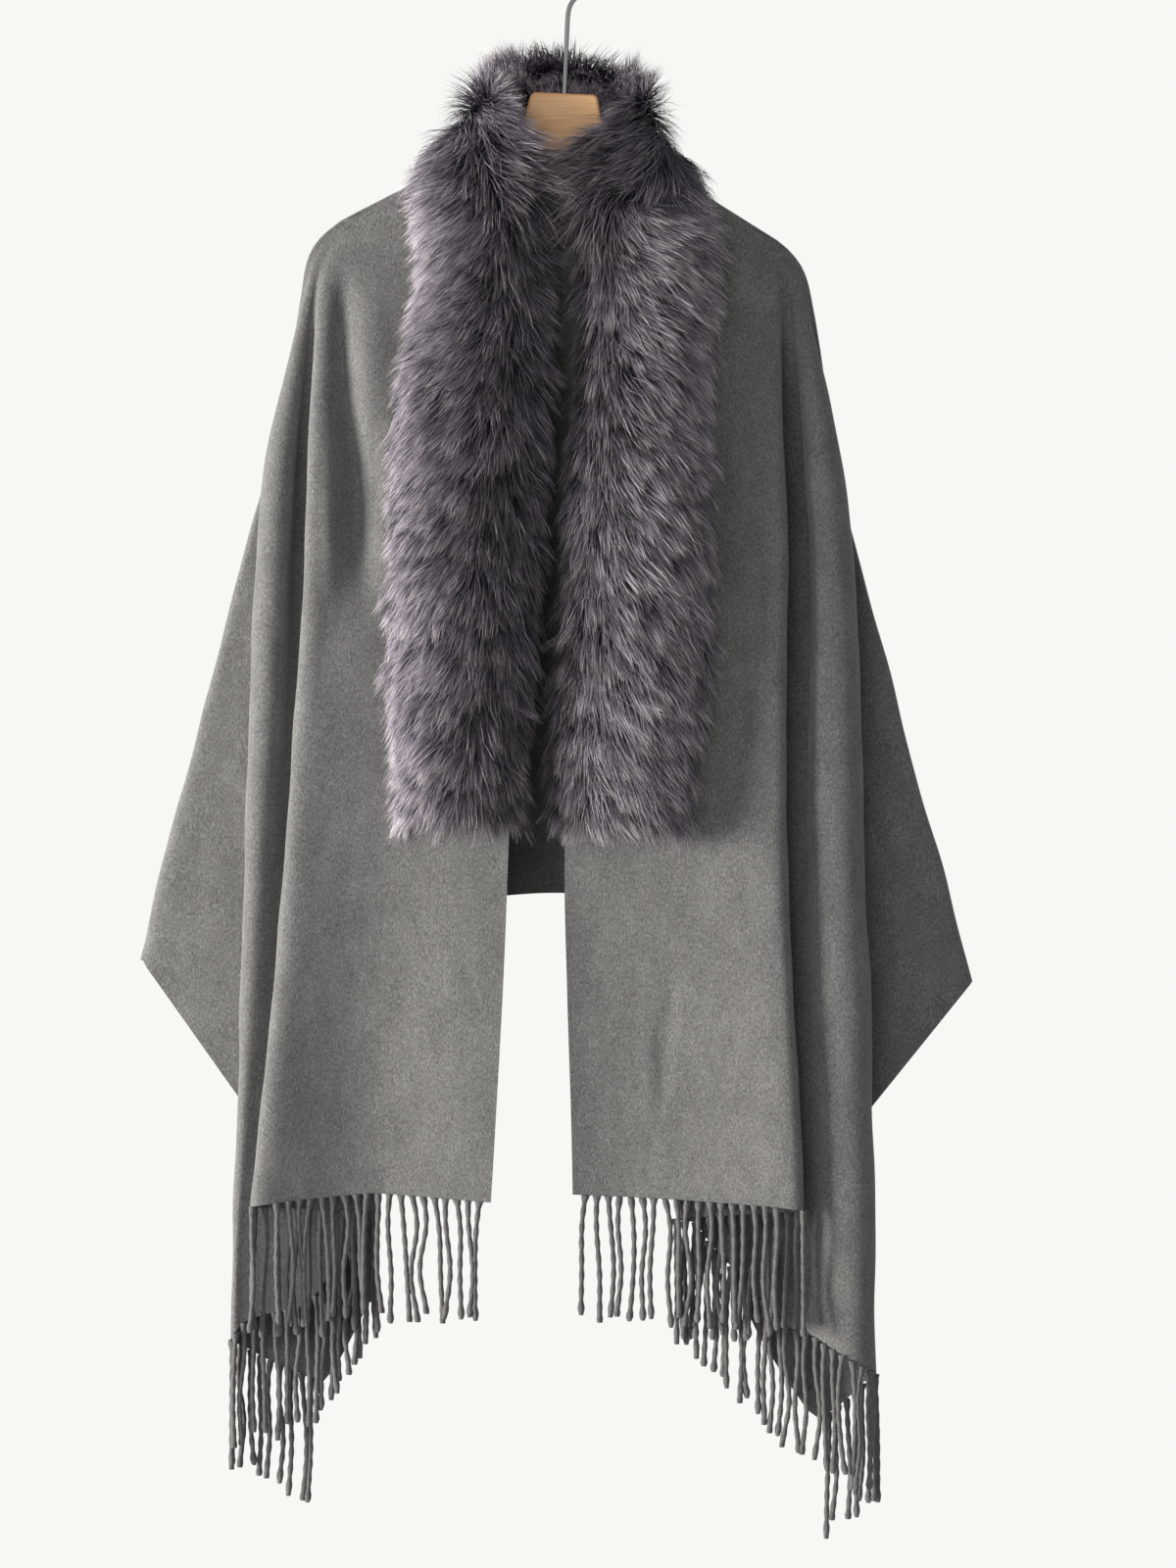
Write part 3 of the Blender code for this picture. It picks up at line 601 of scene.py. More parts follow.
@dataclass(frozen=True)
class Drape:
    """The way the cloth hangs: every horizontal section is one smooth curve, from the left front edge,
    round the left folds, across the back and round the right folds to the right front edge."""

    def crest_out(self, side: Side, drop: np.ndarray) -> np.ndarray:
        """Finds where the cloth crosses the hanger's arm.

        Args:
            side: The side in hand.
            drop: Heights below the origin.

        Returns:
            How far out the cloth's middle layer lies there.
        """
        (neck_out, neck_drop), (end_out, end_drop) = (tilted(*point, side) for point in ARM_TOP)
        slope = (end_drop - neck_drop) / (end_out - neck_out)
        lift = (REST + CLOTH / 2) * math.hypot(1, slope)
        return neck_out + (drop + lift - neck_drop) / slope

    def outline(self, side: Side, drop: np.ndarray) -> dict[str, np.ndarray]:
        """Reads the outlines, which follow the wood over the arm.

        Args:
            side: The side in hand.
            drop: Heights below the origin.

        Returns:
            The four outlines by name, each shaped like drop.
        """
        rows = OUTLINES[side]
        found = {name: smooth_rows(rows, name, drop) for name in ("inner", "main", "strip", "wing")}
        over = drop < rows[0].drop
        crest = self.crest_out(side, drop)
        found["strip"] = np.where(over, crest, found["strip"])
        found["wing"] = np.where(over, crest, found["wing"])
        slanted = np.minimum(NECK_EDGE, found["inner"] + NECK_SPREAD * (rows[0].drop - drop))
        found["inner"] = np.where(over, np.maximum(found["inner"], slanted), found["inner"])
        nearer = crest - np.minimum(CREST_MARGIN, CREST_SHARE * (crest - found["inner"]))
        found["main"] = np.where(over, nearer, found["main"])
        return found

    def swell(self, side: Side, out: np.ndarray, drop: np.ndarray, rows: Sequence[Swell]) -> np.ndarray:
        """Adds up ridges and valleys.

        Args:
            side: The side in hand.
            out: Distances from the centre line.
            drop: Heights below the origin.
            rows: The ridges and valleys.

        Returns:
            How far they bring a front panel forward at each point.
        """
        total = np.zeros(drop.shape)
        for row in rows:
            if row.side is side:
                share = (drop - row.drop_from) / (row.drop_to - row.drop_from)
                off = (out - row.out_from - share * (row.out_to - row.out_from)) / row.width
                there = (share > 0) & (share < 1) & (np.abs(off) < 1)
                total += there * row.height * np.sin(math.pi * share) * 0.5 * (1 + np.cos(math.pi * off))
        return total

    def front_control(self, side: Side, index: int, drop: np.ndarray) -> tuple[np.ndarray, np.ndarray]:
        """Places one control point of a side's front.

        Args:
            side: The side in hand.
            index: The station, counted from the front edge.
            drop: Heights below the origin.

        Returns:
            How far out and how far back it lies at each drop.
        """
        at = self.outline(side, drop)
        tuck, front, spread, folded = (
            smooth_rows(FULLNESS, name, drop) for name in ("tuck", "front", "spread", "folded")
        )
        station = STATIONS[index]
        starts = {"wing": at["strip"] - SECOND_TUCK * tuck, "fold": at["main"]}
        start = starts.get(station.to, at["inner"])
        end = at["strip"] if station.to == "fold" else at[station.to]
        out = start + station.along * (end - start) - station.inset - station.tuck * tuck
        room = np.clip((at["strip"] - at["main"] - STRIP_ROOM[0]) / STRIP_ROOM[1], 0, 1)
        back = (station.level - station.rise * room) * spread - front
        first = PLACE["main_near"]
        if index < first:
            hollow = smooth_rows(FULLNESS, "hollow", drop) * station.level
            return out, hollow - front - self.swell(side, out, drop, SWELLS)
        widest = np.maximum(at["strip"], at["wing"])
        share = min((index - first) / (FRONT_COUNT - 2 - first), 1)
        lip = np.minimum(LIP, LIP_SHARE * (at["main"] - at["inner"]))
        plain = at["main"] - lip + share**EASY * (widest - at["main"] + lip)
        fuller = (front - RIDGE) * (1 - share) * (1 - folded)
        plain_back = RIDGE if index == FRONT_COUNT - 1 else -RIDGE - fuller
        return plain + folded * (out - plain), plain_back + folded * (back - plain_back)

    def panel_back(self, side: Side, out: float, drop: float) -> float:
        """Finds how far back a front panel lies at one point.

        Args:
            side: The side in hand.
            out: How far out the point is.
            drop: Its drop.

        Returns:
            The place of the middle of the wall.
        """
        spots = [self.front_control(side, index, np.array([drop])) for index in range(PLACE["main_front"])]
        outs, backs = ([float(spot[part][0]) for spot in spots] for part in (0, 1))
        return float(np.interp(out, outs, backs))

    def back_control(self, index: int, drop: np.ndarray) -> tuple[np.ndarray, np.ndarray]:
        """Places one control point of the back.

        Args:
            index: From 0 at the left fold to BACK_POINTS - 1 at the right fold.
            drop: Heights below the origin.

        Returns:
            Its x and how far back it lies at each drop.
        """
        spread = smooth_rows(FULLNESS, "spread", drop)
        edges = {}
        for side in Side:
            at = self.outline(side, drop)
            over = drop < OUTLINES[side][OVER_ARM_ROWS].drop
            edges[side] = side.value * np.where(over, np.maximum(at["strip"], at["wing"]), at["wing"])
        across = 2 * index / (BACK_POINTS - 1) - 1
        wide = edges[Side.RIGHT] - edges[Side.LEFT] - 2 * FOLD_TURN
        x = edges[Side.LEFT] + FOLD_TURN + (across + 1) / 2 * wide
        back = RIDGE + BACK_SPREAD * spread
        for fold in BACK_FOLDS:
            off = (across - fold.across) / fold.width
            if abs(off) < 1:
                grown = ease((drop - fold.drop_from) / (BACK_HEM_DROP - fold.drop_from))
                back = back + fold.depth * grown * 0.5 * (1 + math.cos(math.pi * off))
        return x, back

    def control(self, index: int, drop: np.ndarray) -> np.ndarray:
        """Places one control point of the whole section.

        Args:
            index: From 0 at the left front edge to SECTION_END at the right front edge, or one beyond either.
            drop: Heights below the origin.

        Returns:
            Its x and y, one row for each drop.
        """
        if index < 0:
            return 2 * self.control(0, drop) - self.control(1, drop)
        if index > SECTION_END:
            return 2 * self.control(SECTION_END, drop) - self.control(SECTION_END - 1, drop)
        if index < FRONT_COUNT:
            out, back = self.front_control(Side.LEFT, index, drop)
            return np.stack([-out, back], axis=-1)
        if index > SECTION_END - FRONT_COUNT:
            return np.stack(self.front_control(Side.RIGHT, SECTION_END - index, drop), axis=-1)
        return np.stack(self.back_control(index - FRONT_COUNT, drop), axis=-1)

    def points(self, place: float, drop: np.ndarray) -> np.ndarray:
        """Points of the cloth's middle layer at one place of the section, along a cubic B-spline.

        Args:
            place: From 0 at the left front edge to SECTION_END at the right front edge.
            drop: Heights below the origin in millimetres.

        Returns:
            One point in millimetres for each drop.
        """
        index = min(int(place), SECTION_END - 1)
        t = place - index
        weights = (
            (1 - t) ** 3 / 6,
            (3 * t**3 - 6 * t**2 + 4) / 6,
            (-3 * t**3 + 3 * t**2 + 3 * t + 1) / 6,
            t**3 / 6,
        )
        flat = sum(weight * self.control(index + n - 1, drop) for n, weight in enumerate(weights))
        return np.concatenate([flat, -drop[:, None]], axis=1)

    def side_place(self, place: float) -> tuple[Side, float]:
        """The side a place lies on, and its place counted from that side's front edge."""
        return (Side.LEFT, place) if place <= SECTION_END / 2 else (Side.RIGHT, SECTION_END - place)

    def hem_drop(self, place: float) -> float:
        """Drop of the cloth's lower edge: by table in front, straight along the wing, and in a curve across
        the back.

        Args:
            place: Where along the section.

        Returns:
            The drop there.
        """
        side, at = self.side_place(place)
        hems = HEMS[side]
        if at <= hems[-1].place:
            return float(np.interp(at, [hem.place for hem in hems], [hem.drop for hem in hems]))
        wing = WING_HEMS[side]
        if at < PLACE["fold_front"]:
            drop = wing.tip_drop
            slope = (wing.tuck_drop - wing.tip_drop) / (wing.tip_out - wing.tuck_out)
            for _ in range(HEM_ROUNDS):
                out = abs(self.points(place, np.array([drop]))[0, 0])
                drop = wing.tip_drop + max(0.0, wing.tip_out - out) * slope
            return min(drop, hems[-1].drop)
        if at <= FRONT_COUNT:
            return wing.tip_drop
        share = (at - FRONT_COUNT) / (SECTION_END / 2 - FRONT_COUNT)
        return wing.tip_drop + (BACK_HEM_DROP - wing.tip_drop) * float(ease(share)) ** EASY

    def top_drop(self, place: float) -> float:
        """Drop of the cloth's upper edge: level over the fronts, rising to the centre back.

        Args:
            place: Where along the section.

        Returns:
            The drop there.
        """
        _, at = self.side_place(place)
        share = (at - FRONT_COUNT) / (SECTION_END / 2 - FRONT_COUNT)
        return TOP_DROP + (BACK_NECK_DROP - TOP_DROP) * float(ease(share))


@dataclass(frozen=True)
class WoolFinish:
    """Brushed wool cloth, woven in melange yarn: light and dark fibres show as a fine fleck under a soft
    nap, and the nap catches light along the edges of the folds."""

    name: str = "brushed_melange_wool"
    dark: str = "#4b4a49"
    middle: str = "#696866"
    light: str = "#8b8a88"
    fleck: float = 1.1  # mm, a clump of fibres
    lie: float = 0.45  # the nap lies downwards, so the fleck is longer that way
    cloud: float = 16.0  # mm, where the nap lies this way or that

    def build(self) -> bpy.types.Material:
        """Makes the material."""
        made, tree, shader = new_material(self.name)
        place = add_node(tree, "ShaderNodeTexCoord")
        along = add_node(
            tree, "ShaderNodeMapping", inputs={"Vector": place.outputs["Object"], "Scale": (1, 1, self.lie)}
        )
        fleck = add_node(
            tree,
            "ShaderNodeTexNoise",
            inputs={
                "Vector": along.outputs[0],
                "Scale": 1 / (self.fleck * MM),
                "Detail": 3.0,
                "Roughness": 0.65,
            },
        )
        cloud = add_node(
            tree,
            "ShaderNodeTexNoise",
            inputs={"Vector": along.outputs[0], "Scale": 1 / (self.cloud * MM), "Detail": 2.0},
        )
        both = add_node(
            tree,
            "ShaderNodeMath",
            {"operation": "MULTIPLY_ADD"},
            {0: cloud.outputs[0], 1: 0.2, 2: fleck.outputs[0]},
        )
        ramp = add_node(tree, "ShaderNodeValToRGB", inputs={0: both.outputs[0]})
        set_ramp(ramp.color_ramp, ((0.4, self.dark), (0.6, self.middle), (0.82, self.light)))
        bump = add_node(
            tree,
            "ShaderNodeBump",
            inputs={"Height": fleck.outputs[0], "Strength": 0.5, "Distance": 0.5 * MM},
        )
        tree.links.new(ramp.outputs[0], shader.inputs["Base Color"])
        tree.links.new(bump.outputs[0], shader.inputs["Normal"])
        shader.inputs["Roughness"].default_value = 0.95
        shader.inputs["Specular IOR Level"].default_value = 0.2
        shader.inputs["Sheen Weight"].default_value = 0.25
        shader.inputs["Sheen Roughness"].default_value = 0.6
        return made


@dataclass
class Shawl:
    """The whole rectangle of cloth, one piece, as thick as it is woven."""

    drape: Drape
    columns: int = 330
    rows: int = 112
    flat_width: float = 0.70  # m
    flat_length: float = 2.00  # m
    even_drop: float = 900.0  # height at which the columns are spaced
    fold_share: float = 0.7  # how much of the spacing follows the turning points, not the cloth's length
    row_lead: float = 0.92  # exponent that puts the rows closer together lower down
    slack_from: float = 330.0  # drop where the cloth starts to hang unevenly
    slack_over: float = 200.0
    slack_depth: float = 1.1
    slack_size: float = 170.0
    crease_fade: float = 0.8  # stations over which the creases fade out towards the roll

    def places(self) -> np.ndarray:
        """Places of the columns, evenly spaced along the cloth at mid height and closer in the folds."""
        fine = np.linspace(0, SECTION_END, 1400)
        line = np.array([self.drape.points(place, np.array([self.even_drop]))[0] for place in fine])
        walked = np.concatenate([[0], np.cumsum(np.linalg.norm(np.diff(line, axis=0), axis=1))])
        turned = np.linspace(0, self.fold_share * walked[-1], len(fine))
        return np.interp(np.linspace(0, 1, self.columns), (walked + turned) / (walked[-1] + turned[-1]), fine)

    def middle(self) -> np.ndarray:
        """The cloth's middle layer, indexed by column and row."""
        shares = np.linspace(0, 1, self.rows) ** self.row_lead
        lines = []
        for place in self.places():
            top, hem = self.drape.top_drop(place), self.drape.hem_drop(place)
            lines.append(self.drape.points(place, top + shares * (hem - top)))
        return np.array(lines)

    def creases(self, middle: np.ndarray) -> np.ndarray:
        """Lays the narrow creases on the front panels.

        Args:
            middle: The cloth's middle layer, indexed by column and row.

        Returns:
            How far they bring the cloth forward at each of its points.
        """
        total = np.zeros(middle.shape[:2])
        for column, place in enumerate(self.places()):
            side, own = self.drape.side_place(place)
            if own < PLACE["main_near"]:
                out, drop = np.abs(middle[column, :, 0]), -middle[column, :, 2]
                fade = ease((PLACE["main_near"] - own) / self.crease_fade)
                total[column] = fade * self.drape.swell(side, out, drop, CREASES)
        return total

    def facing(self, middle: np.ndarray) -> np.ndarray:
        """The outward direction at each point of the middle layer."""
        return unit(np.cross(np.gradient(middle, axis=0), np.gradient(middle, axis=1)))

    def build(self, finish: bpy.types.Material) -> bpy.types.Object:
        """Makes the shell.

        Args:
            finish: Its material.

        Returns:
            The piece, which stands for all of the frame's stretches of cloth.
        """
        middle = self.middle()
        slack = ease((-middle[..., 2] - self.slack_from) / self.slack_over)
        uneven = slack * self.slack_depth * soft_noise(middle, self.slack_size, SEED)
        middle = middle + self.facing(middle) * uneven[..., None]
        middle[..., 1] -= self.creases(middle)
        facing = self.facing(middle)
        columns, rows = middle.shape[:2]
        outer = (middle + facing * CLOTH / 2).reshape(-1, 3)
        inner = (middle - facing * CLOTH / 2).reshape(-1, 3)
        shift = len(outer)
        faces = grid_faces(columns, rows)
        index = np.arange(shift).reshape(columns, rows)
        rims = [faces, faces[:, ::-1] + shift]
        for rim in (index[:, 0][::-1], index[:, -1], index[0], index[-1][::-1]):
            rims.append(np.stack([rim[:-1], rim[1:], rim[1:] + shift, rim[:-1] + shift], axis=1)[:, ::-1])
        made = mesh_object("shawl", np.concatenate([outer, inner]), np.concatenate(rims))
        stands_for = [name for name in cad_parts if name.startswith("shawl_")]
        return dress(made, finish, stands_for)


# ------------------------------------------------------------------------------------------- fringe


@dataclass(frozen=True)
class YarnFinish:
    """Twisted wool yarn: the same melange as the cloth, with darker hollows between the two plies."""

    name: str = "twisted_wool_yarn"
    dark: str = "#454442"
    light: str = "#7c7b79"
    fleck: float = 0.9  # mm

    def build(self) -> bpy.types.Material:
        """Makes the material."""
        made, tree, shader = new_material(self.name)
        place = add_node(tree, "ShaderNodeTexCoord")
        fleck = add_node(
            tree,
            "ShaderNodeTexNoise",
            inputs={"Vector": place.outputs["Object"], "Scale": 1 / (self.fleck * MM), "Detail": 2.0},
        )
        ramp = add_node(tree, "ShaderNodeValToRGB", inputs={0: fleck.outputs[0]})
        set_ramp(ramp.color_ramp, ((0.3, self.dark), (0.75, self.light)))
        bump = add_node(
            tree,
            "ShaderNodeBump",
            inputs={"Height": fleck.outputs[0], "Strength": 0.4, "Distance": 0.4 * MM},
        )
        tree.links.new(ramp.outputs[0], shader.inputs["Base Color"])
        tree.links.new(bump.outputs[0], shader.inputs["Normal"])
        shader.inputs["Roughness"].default_value = 0.95
        shader.inputs["Specular IOR Level"].default_value = 0.2
        shader.inputs["Sheen Weight"].default_value = 0.2
        return made


@dataclass
class Fringe:
    """Two-ply strands twisted from the cloth's own warp, along one stretch of its end."""

    drape: Drape
    side: Side
    name: str
    start: float
    end: float
    seed: int
    length: float = 108.0
    radius: float = 2.2
    pitch: float = 14.0  # of the twist, for each ply
    step: float = 10.0  # from strand to strand
    lobe: float = 0.17  # how far the two plies stand out of a round strand, as a share of its radius
    root_swell: float = 0.55  # how much thicker a strand starts, as a share of its radius
    tip_swell: float = 0.3  # how much thicker its knotted tip is
    lean: float = 2.6  # how far a tip swings along the cloth's end
    sag: float = 1.8  # the first bend of a strand
    ripple: float = 1.2  # its second bend
    rings: int = 34
    corners: int = 8

    def hem(self) -> np.ndarray:
        """The end of the cloth, as points along this stretch."""
        places = np.linspace(self.start, self.end, 160)
        if self.side is Side.RIGHT:
            places = SECTION_END - places
        return np.array([self.drape.points(p, np.array([self.drape.hem_drop(p)]))[0] for p in places])

    def roots(self) -> tuple[np.ndarray, np.ndarray]:
        """Spaces the strands evenly along the end.

        Returns:
            The points where they leave the cloth, and the way along the end there.
        """
        line = self.hem()
        walked = np.concatenate([[0], np.cumsum(np.linalg.norm(np.diff(line, axis=0), axis=1))])
        count = int((walked[-1] - self.step) / self.step)
        lead = (walked[-1] - count * self.step) / 2
        at = lead + (np.arange(count) + 0.5) * self.step
        points = np.stack([np.interp(at, walked, line[:, n]) for n in range(3)], axis=1)
        later = np.stack([np.interp(at + 2, walked, line[:, n]) for n in range(3)], axis=1)
        return points, unit((later - points) * (1, 1, 0))

    def strand(self, root: np.ndarray, along: np.ndarray, random: np.random.Generator) -> np.ndarray:
        """Makes one strand's skin.

        Args:
            root: Where the strand leaves the cloth.
            along: The way along the cloth's end there.
            random: Where its length, bends and twist come from.

        Returns:
            Its points, ring by ring, from the root to the tip.
        """
        share = np.linspace(0, 1, self.rings)
        length = self.length * random.uniform(0.93, 1.05)
        across = np.cross(along, (0, 0, 1))
        bend = random.normal(0, 1, 4)
        sideways = (
            self.lean * bend[0] * share
            + self.sag * bend[1] * np.sin(math.pi * share)
            + self.ripple * bend[2] * np.sin(2.4 * math.pi * share)
        )
        deep = bend[3] * share
        centre = root + along * sideways[:, None] + across * deep[:, None]
        centre[:, 2] -= share * length
        root_size = self.root_swell * (1 - ease(share / 0.1))
        tip_size = self.tip_swell * ease((share - 0.86) / 0.1)
        size = self.radius * (1 + root_size + tip_size)
        size[-1] *= 0.75
        turn = np.linspace(0, 2 * math.pi, self.corners, endpoint=False)
        twist = 2 * math.pi * share * length / self.pitch / 2 + random.uniform(0, math.pi)
        lobes = 1 + self.lobe * np.cos(2 * (turn[None, :] - twist[:, None]))
        reach = size[:, None] * lobes
        ring = (
            centre[:, None]
            + along * (reach * np.cos(turn))[..., None]
            + across * (reach * np.sin(turn))[..., None]
        )
        return ring.reshape(-1, 3)

    def build(self, finish: bpy.types.Material) -> bpy.types.Object:
        """Makes the strands of this stretch.

        Args:
            finish: Their material.

        Returns:
            All of them as one piece.
        """
        random = np.random.default_rng(self.seed)
        n = np.arange(self.corners)
        sides = []
        for r in range(self.rings - 1):
            low, high = r * self.corners, (r + 1) * self.corners
            after = (n + 1) % self.corners
            sides.append(np.stack([low + n, low + after, high + after, high + n], 1))
        tip = (self.rings - 1) * self.corners + n
        cut = range(self.corners // 2 - 1)
        caps = [np.array([[tip[k], tip[k + 1], tip[-2 - k], tip[-1 - k]]]) for k in cut]
        one = np.concatenate([*sides, *caps])
        points, faces, reached = [], [], 0
        for root, along in zip(*self.roots()):
            skin = self.strand(root, along, random)
            points.append(skin)
            faces.append(one + reached)
            reached += len(skin)
        made = mesh_object(f"fringe_{self.name}", np.concatenate(points), np.concatenate(faces)[:, ::-1])
        return dress(made, finish, [f"fringe_{self.name}"])


# ---------------------------------------------------------------------------------------------- fur


@dataclass(frozen=True)
class FurFinish:
    """Acrylic faux fur: long fibres, near black with violet at the root and taupe at the tip, in locks of
    slightly different shades, with painted shade along the partings and painted light towards the outer edges
    and on the left half, which faces the window."""

    name: str = "acrylic_faux_fur"
    stops: tuple[tuple[float, str], ...] = (
        (0.0, "#0e0c11"),
        (0.38, "#26222c"),
        (0.7, "#5b555f"),
        (1.0, "#b0a8ab"),
    )
    darkest: float = 0.32  # how much of the colour the darkest fibre keeps: its lock's tone together with the painted shade at the parting
    # how much the lightest fibre gets, with the painted light on the outer edges and the left half
    lightest: float = 2.3

    def build(self) -> bpy.types.Material:
        """Makes the material. The "hair" colours hold how far up its fibre a point is, and its tone: the
        lock's own, with painted light and painted shade.
        """
        made, tree, shader = new_material(self.name)
        hair = add_node(tree, "ShaderNodeAttribute", {"attribute_name": "hair"})
        parts = add_node(tree, "ShaderNodeSeparateColor", inputs={0: hair.outputs["Color"]})
        ramp = add_node(tree, "ShaderNodeValToRGB", inputs={0: parts.outputs[0]})
        set_ramp(ramp.color_ramp, self.stops)
        # multiplies in each fibre's tone, painted light and painted shade included
        tone_and_painted_light = add_node(
            tree,
            "ShaderNodeMapRange",
            inputs={"Value": parts.outputs[1], "To Min": self.darkest, "To Max": self.lightest},
        )
        mixed = add_node(
            tree,
            "ShaderNodeMix",
            {"data_type": "RGBA", "blend_type": "MULTIPLY"},
            {"Factor": 1.0, 6: ramp.outputs[0], 7: tone_and_painted_light.outputs[0]},
        )
        tree.links.new(mixed.outputs[2], shader.inputs["Base Color"])
        shader.inputs["Roughness"].default_value = 0.5
        shader.inputs["Specular IOR Level"].default_value = 0.35
        return made


@dataclass(frozen=True)
class PeltFinish:
    """The dark knitted backing and dense undercoat that the long fibres stand in."""

    name: str = "faux_fur_undercoat"
    deep: str = "#0c0a0e"
    tone: str = "#17131a"
    tuft: float = 3.0  # mm, a clump of undercoat

    def build(self) -> bpy.types.Material:
        """Makes the material."""
        made, tree, shader = new_material(self.name)
        place = add_node(tree, "ShaderNodeTexCoord")
        tuft = add_node(
            tree,
            "ShaderNodeTexNoise",
            inputs={"Vector": place.outputs["Object"], "Scale": 1 / (self.tuft * MM), "Detail": 3.0},
        )
        ramp = add_node(tree, "ShaderNodeValToRGB", inputs={0: tuft.outputs[0]})
        set_ramp(ramp.color_ramp, ((0.3, self.deep), (0.8, self.tone)))
        bump = add_node(
            tree, "ShaderNodeBump", inputs={"Height": tuft.outputs[0], "Strength": 1.0, "Distance": 2 * MM}
        )
        tree.links.new(ramp.outputs[0], shader.inputs["Base Color"])
        tree.links.new(bump.outputs[0], shader.inputs["Normal"])
        shader.inputs["Roughness"].default_value = 1.0
        return made


class Lie(NamedTuple):
    """How the fibres lie at a station of the collar: where they part, from -1 at the edge towards the neck
    to 1 at the outer edge, how far they open outwards in degrees, and how steeply those inside the parting
    turn inwards."""

    parting: float
    angle: float
    inward: float


@dataclass
class CollarPath:
    """The collar's line: up the left front, round the neck, and down the right front."""

    drape: Drape
    middle: np.ndarray = field(init=False)
    facing: np.ndarray = field(init=False)
    across: np.ndarray = field(init=False)
    along: np.ndarray = field(init=False)
    half: np.ndarray = field(init=False)
    deep: np.ndarray = field(init=False)
    parting: np.ndarray = field(init=False)
    open_angle: np.ndarray = field(init=False)
    inward: np.ndarray = field(init=False)
    front_partings: tuple[float, float] = (-0.38, -0.62)  # left, right
    neck_partings: tuple[float, float] = (-0.45, -0.55)
    lower_front: tuple[float, float] = (262.0, 300.0)  # from this drop, over this much, fibres lie steeper
    bottom: tuple[float, float] = (700.0, 90.0)  # and from here, over this much, steeper still
    samples: int = 400
    smoothing: int = 11  # samples on either side that a point is averaged with

    def front_station(self, side: Side, row: FurRow) -> tuple[float, ...]:
        """A station down a front: middle, facing, half its reach, how far it stands out, and its lie.

        Args:
            side: The side it is on.
            row: Its row of the table.

        Returns:
            One row of the path's table.
        """
        out = (row.inner + row.outer) / 2
        back = self.drape.panel_back(side, out, row.drop) - CLOTH / 2 - REST
        lower = ease((row.drop - self.lower_front[0]) / self.lower_front[1])
        end = ease((row.drop - self.bottom[0]) / self.bottom[1])
        parting = self.front_partings[side is Side.RIGHT]
        lie = Lie(parting, 52 - 16 * lower - 14 * end, 1.3 - 0.8 * lower)
        return side.value * out, back, -row.drop, 0, -1, 0, (row.outer - row.inner) / 2, row.deep, *lie

    def neck_station(self, side: Side, row: NeckRow, lie: Lie) -> tuple[float, ...]:
        """A station round the neck, in the same order. It lies a little nearer the plate than the row says.

        Args:
            side: The side it is on.
            row: Its row of the table.
            lie: How its fibres lie.

        Returns:
            One row of the path's table.
        """
        out, drop = tilted(row.out, row.drop, side)
        out -= min(13.0, out / 5) if row is not NECK_MIDDLE else 0.0
        face = (side.value * row.face_out, row.face_back, -row.face_drop)
        return side.value * out, row.back, -drop, *face, row.half, row.deep, *lie

    def __post_init__(self) -> None:
        """Reads the tables and lays a smooth path through them."""
        halves = {}
        for side, parting in zip(Side, self.neck_partings):
            front = [self.front_station(side, row) for row in FUR_ROWS[side]]
            neck = [self.neck_station(side, row, Lie(parting, 62, 1.3)) for row in NECK_ROWS]
            halves[side] = [*front[::-1], *neck]
        top = self.neck_station(Side.LEFT, NECK_MIDDLE, Lie(-0.5, 70, 1.3))
        table = np.array([*halves[Side.LEFT], top, *halves[Side.RIGHT][::-1]])
        walked = np.concatenate([[0], np.cumsum(np.linalg.norm(np.diff(table[:, :3], axis=0), axis=1))])
        at = np.linspace(0, walked[-1], self.samples)
        fine = np.stack([np.interp(at, walked, column) for column in table.T], axis=1)
        kernel = np.hanning(2 * self.smoothing + 1)
        kernel /= kernel.sum()
        margin = (self.smoothing, self.smoothing)
        padded = np.pad(fine, (margin, (0, 0)), mode="reflect", reflect_type="odd")
        smooth = np.stack([np.convolve(column, kernel, mode="valid") for column in padded.T], axis=1)
        self.middle = smooth[:, :3]
        self.along = unit(np.gradient(self.middle, axis=0))
        facing = smooth[:, 3:6] - self.along * np.sum(smooth[:, 3:6] * self.along, axis=1, keepdims=True)
        self.facing = unit(facing)
        self.across = np.cross(self.facing, self.along)
        self.half, self.deep, self.parting, self.open_angle, self.inward = smooth[:, 6:].T

    def at(self, values: np.ndarray, share: np.ndarray) -> np.ndarray:
        """Reads one of the path's arrays.

        Args:
            values: The array.
            share: Where to read it, as shares of the path.

        Returns:
            A value or a direction for each share.
        """
        where = share * (self.samples - 1)
        low = np.clip(where.astype(int), 0, self.samples - 2)
        t = where - low
        if values.ndim == 2:
            t = t[:, None]
        return values[low] * (1 - t) + values[low + 1] * t


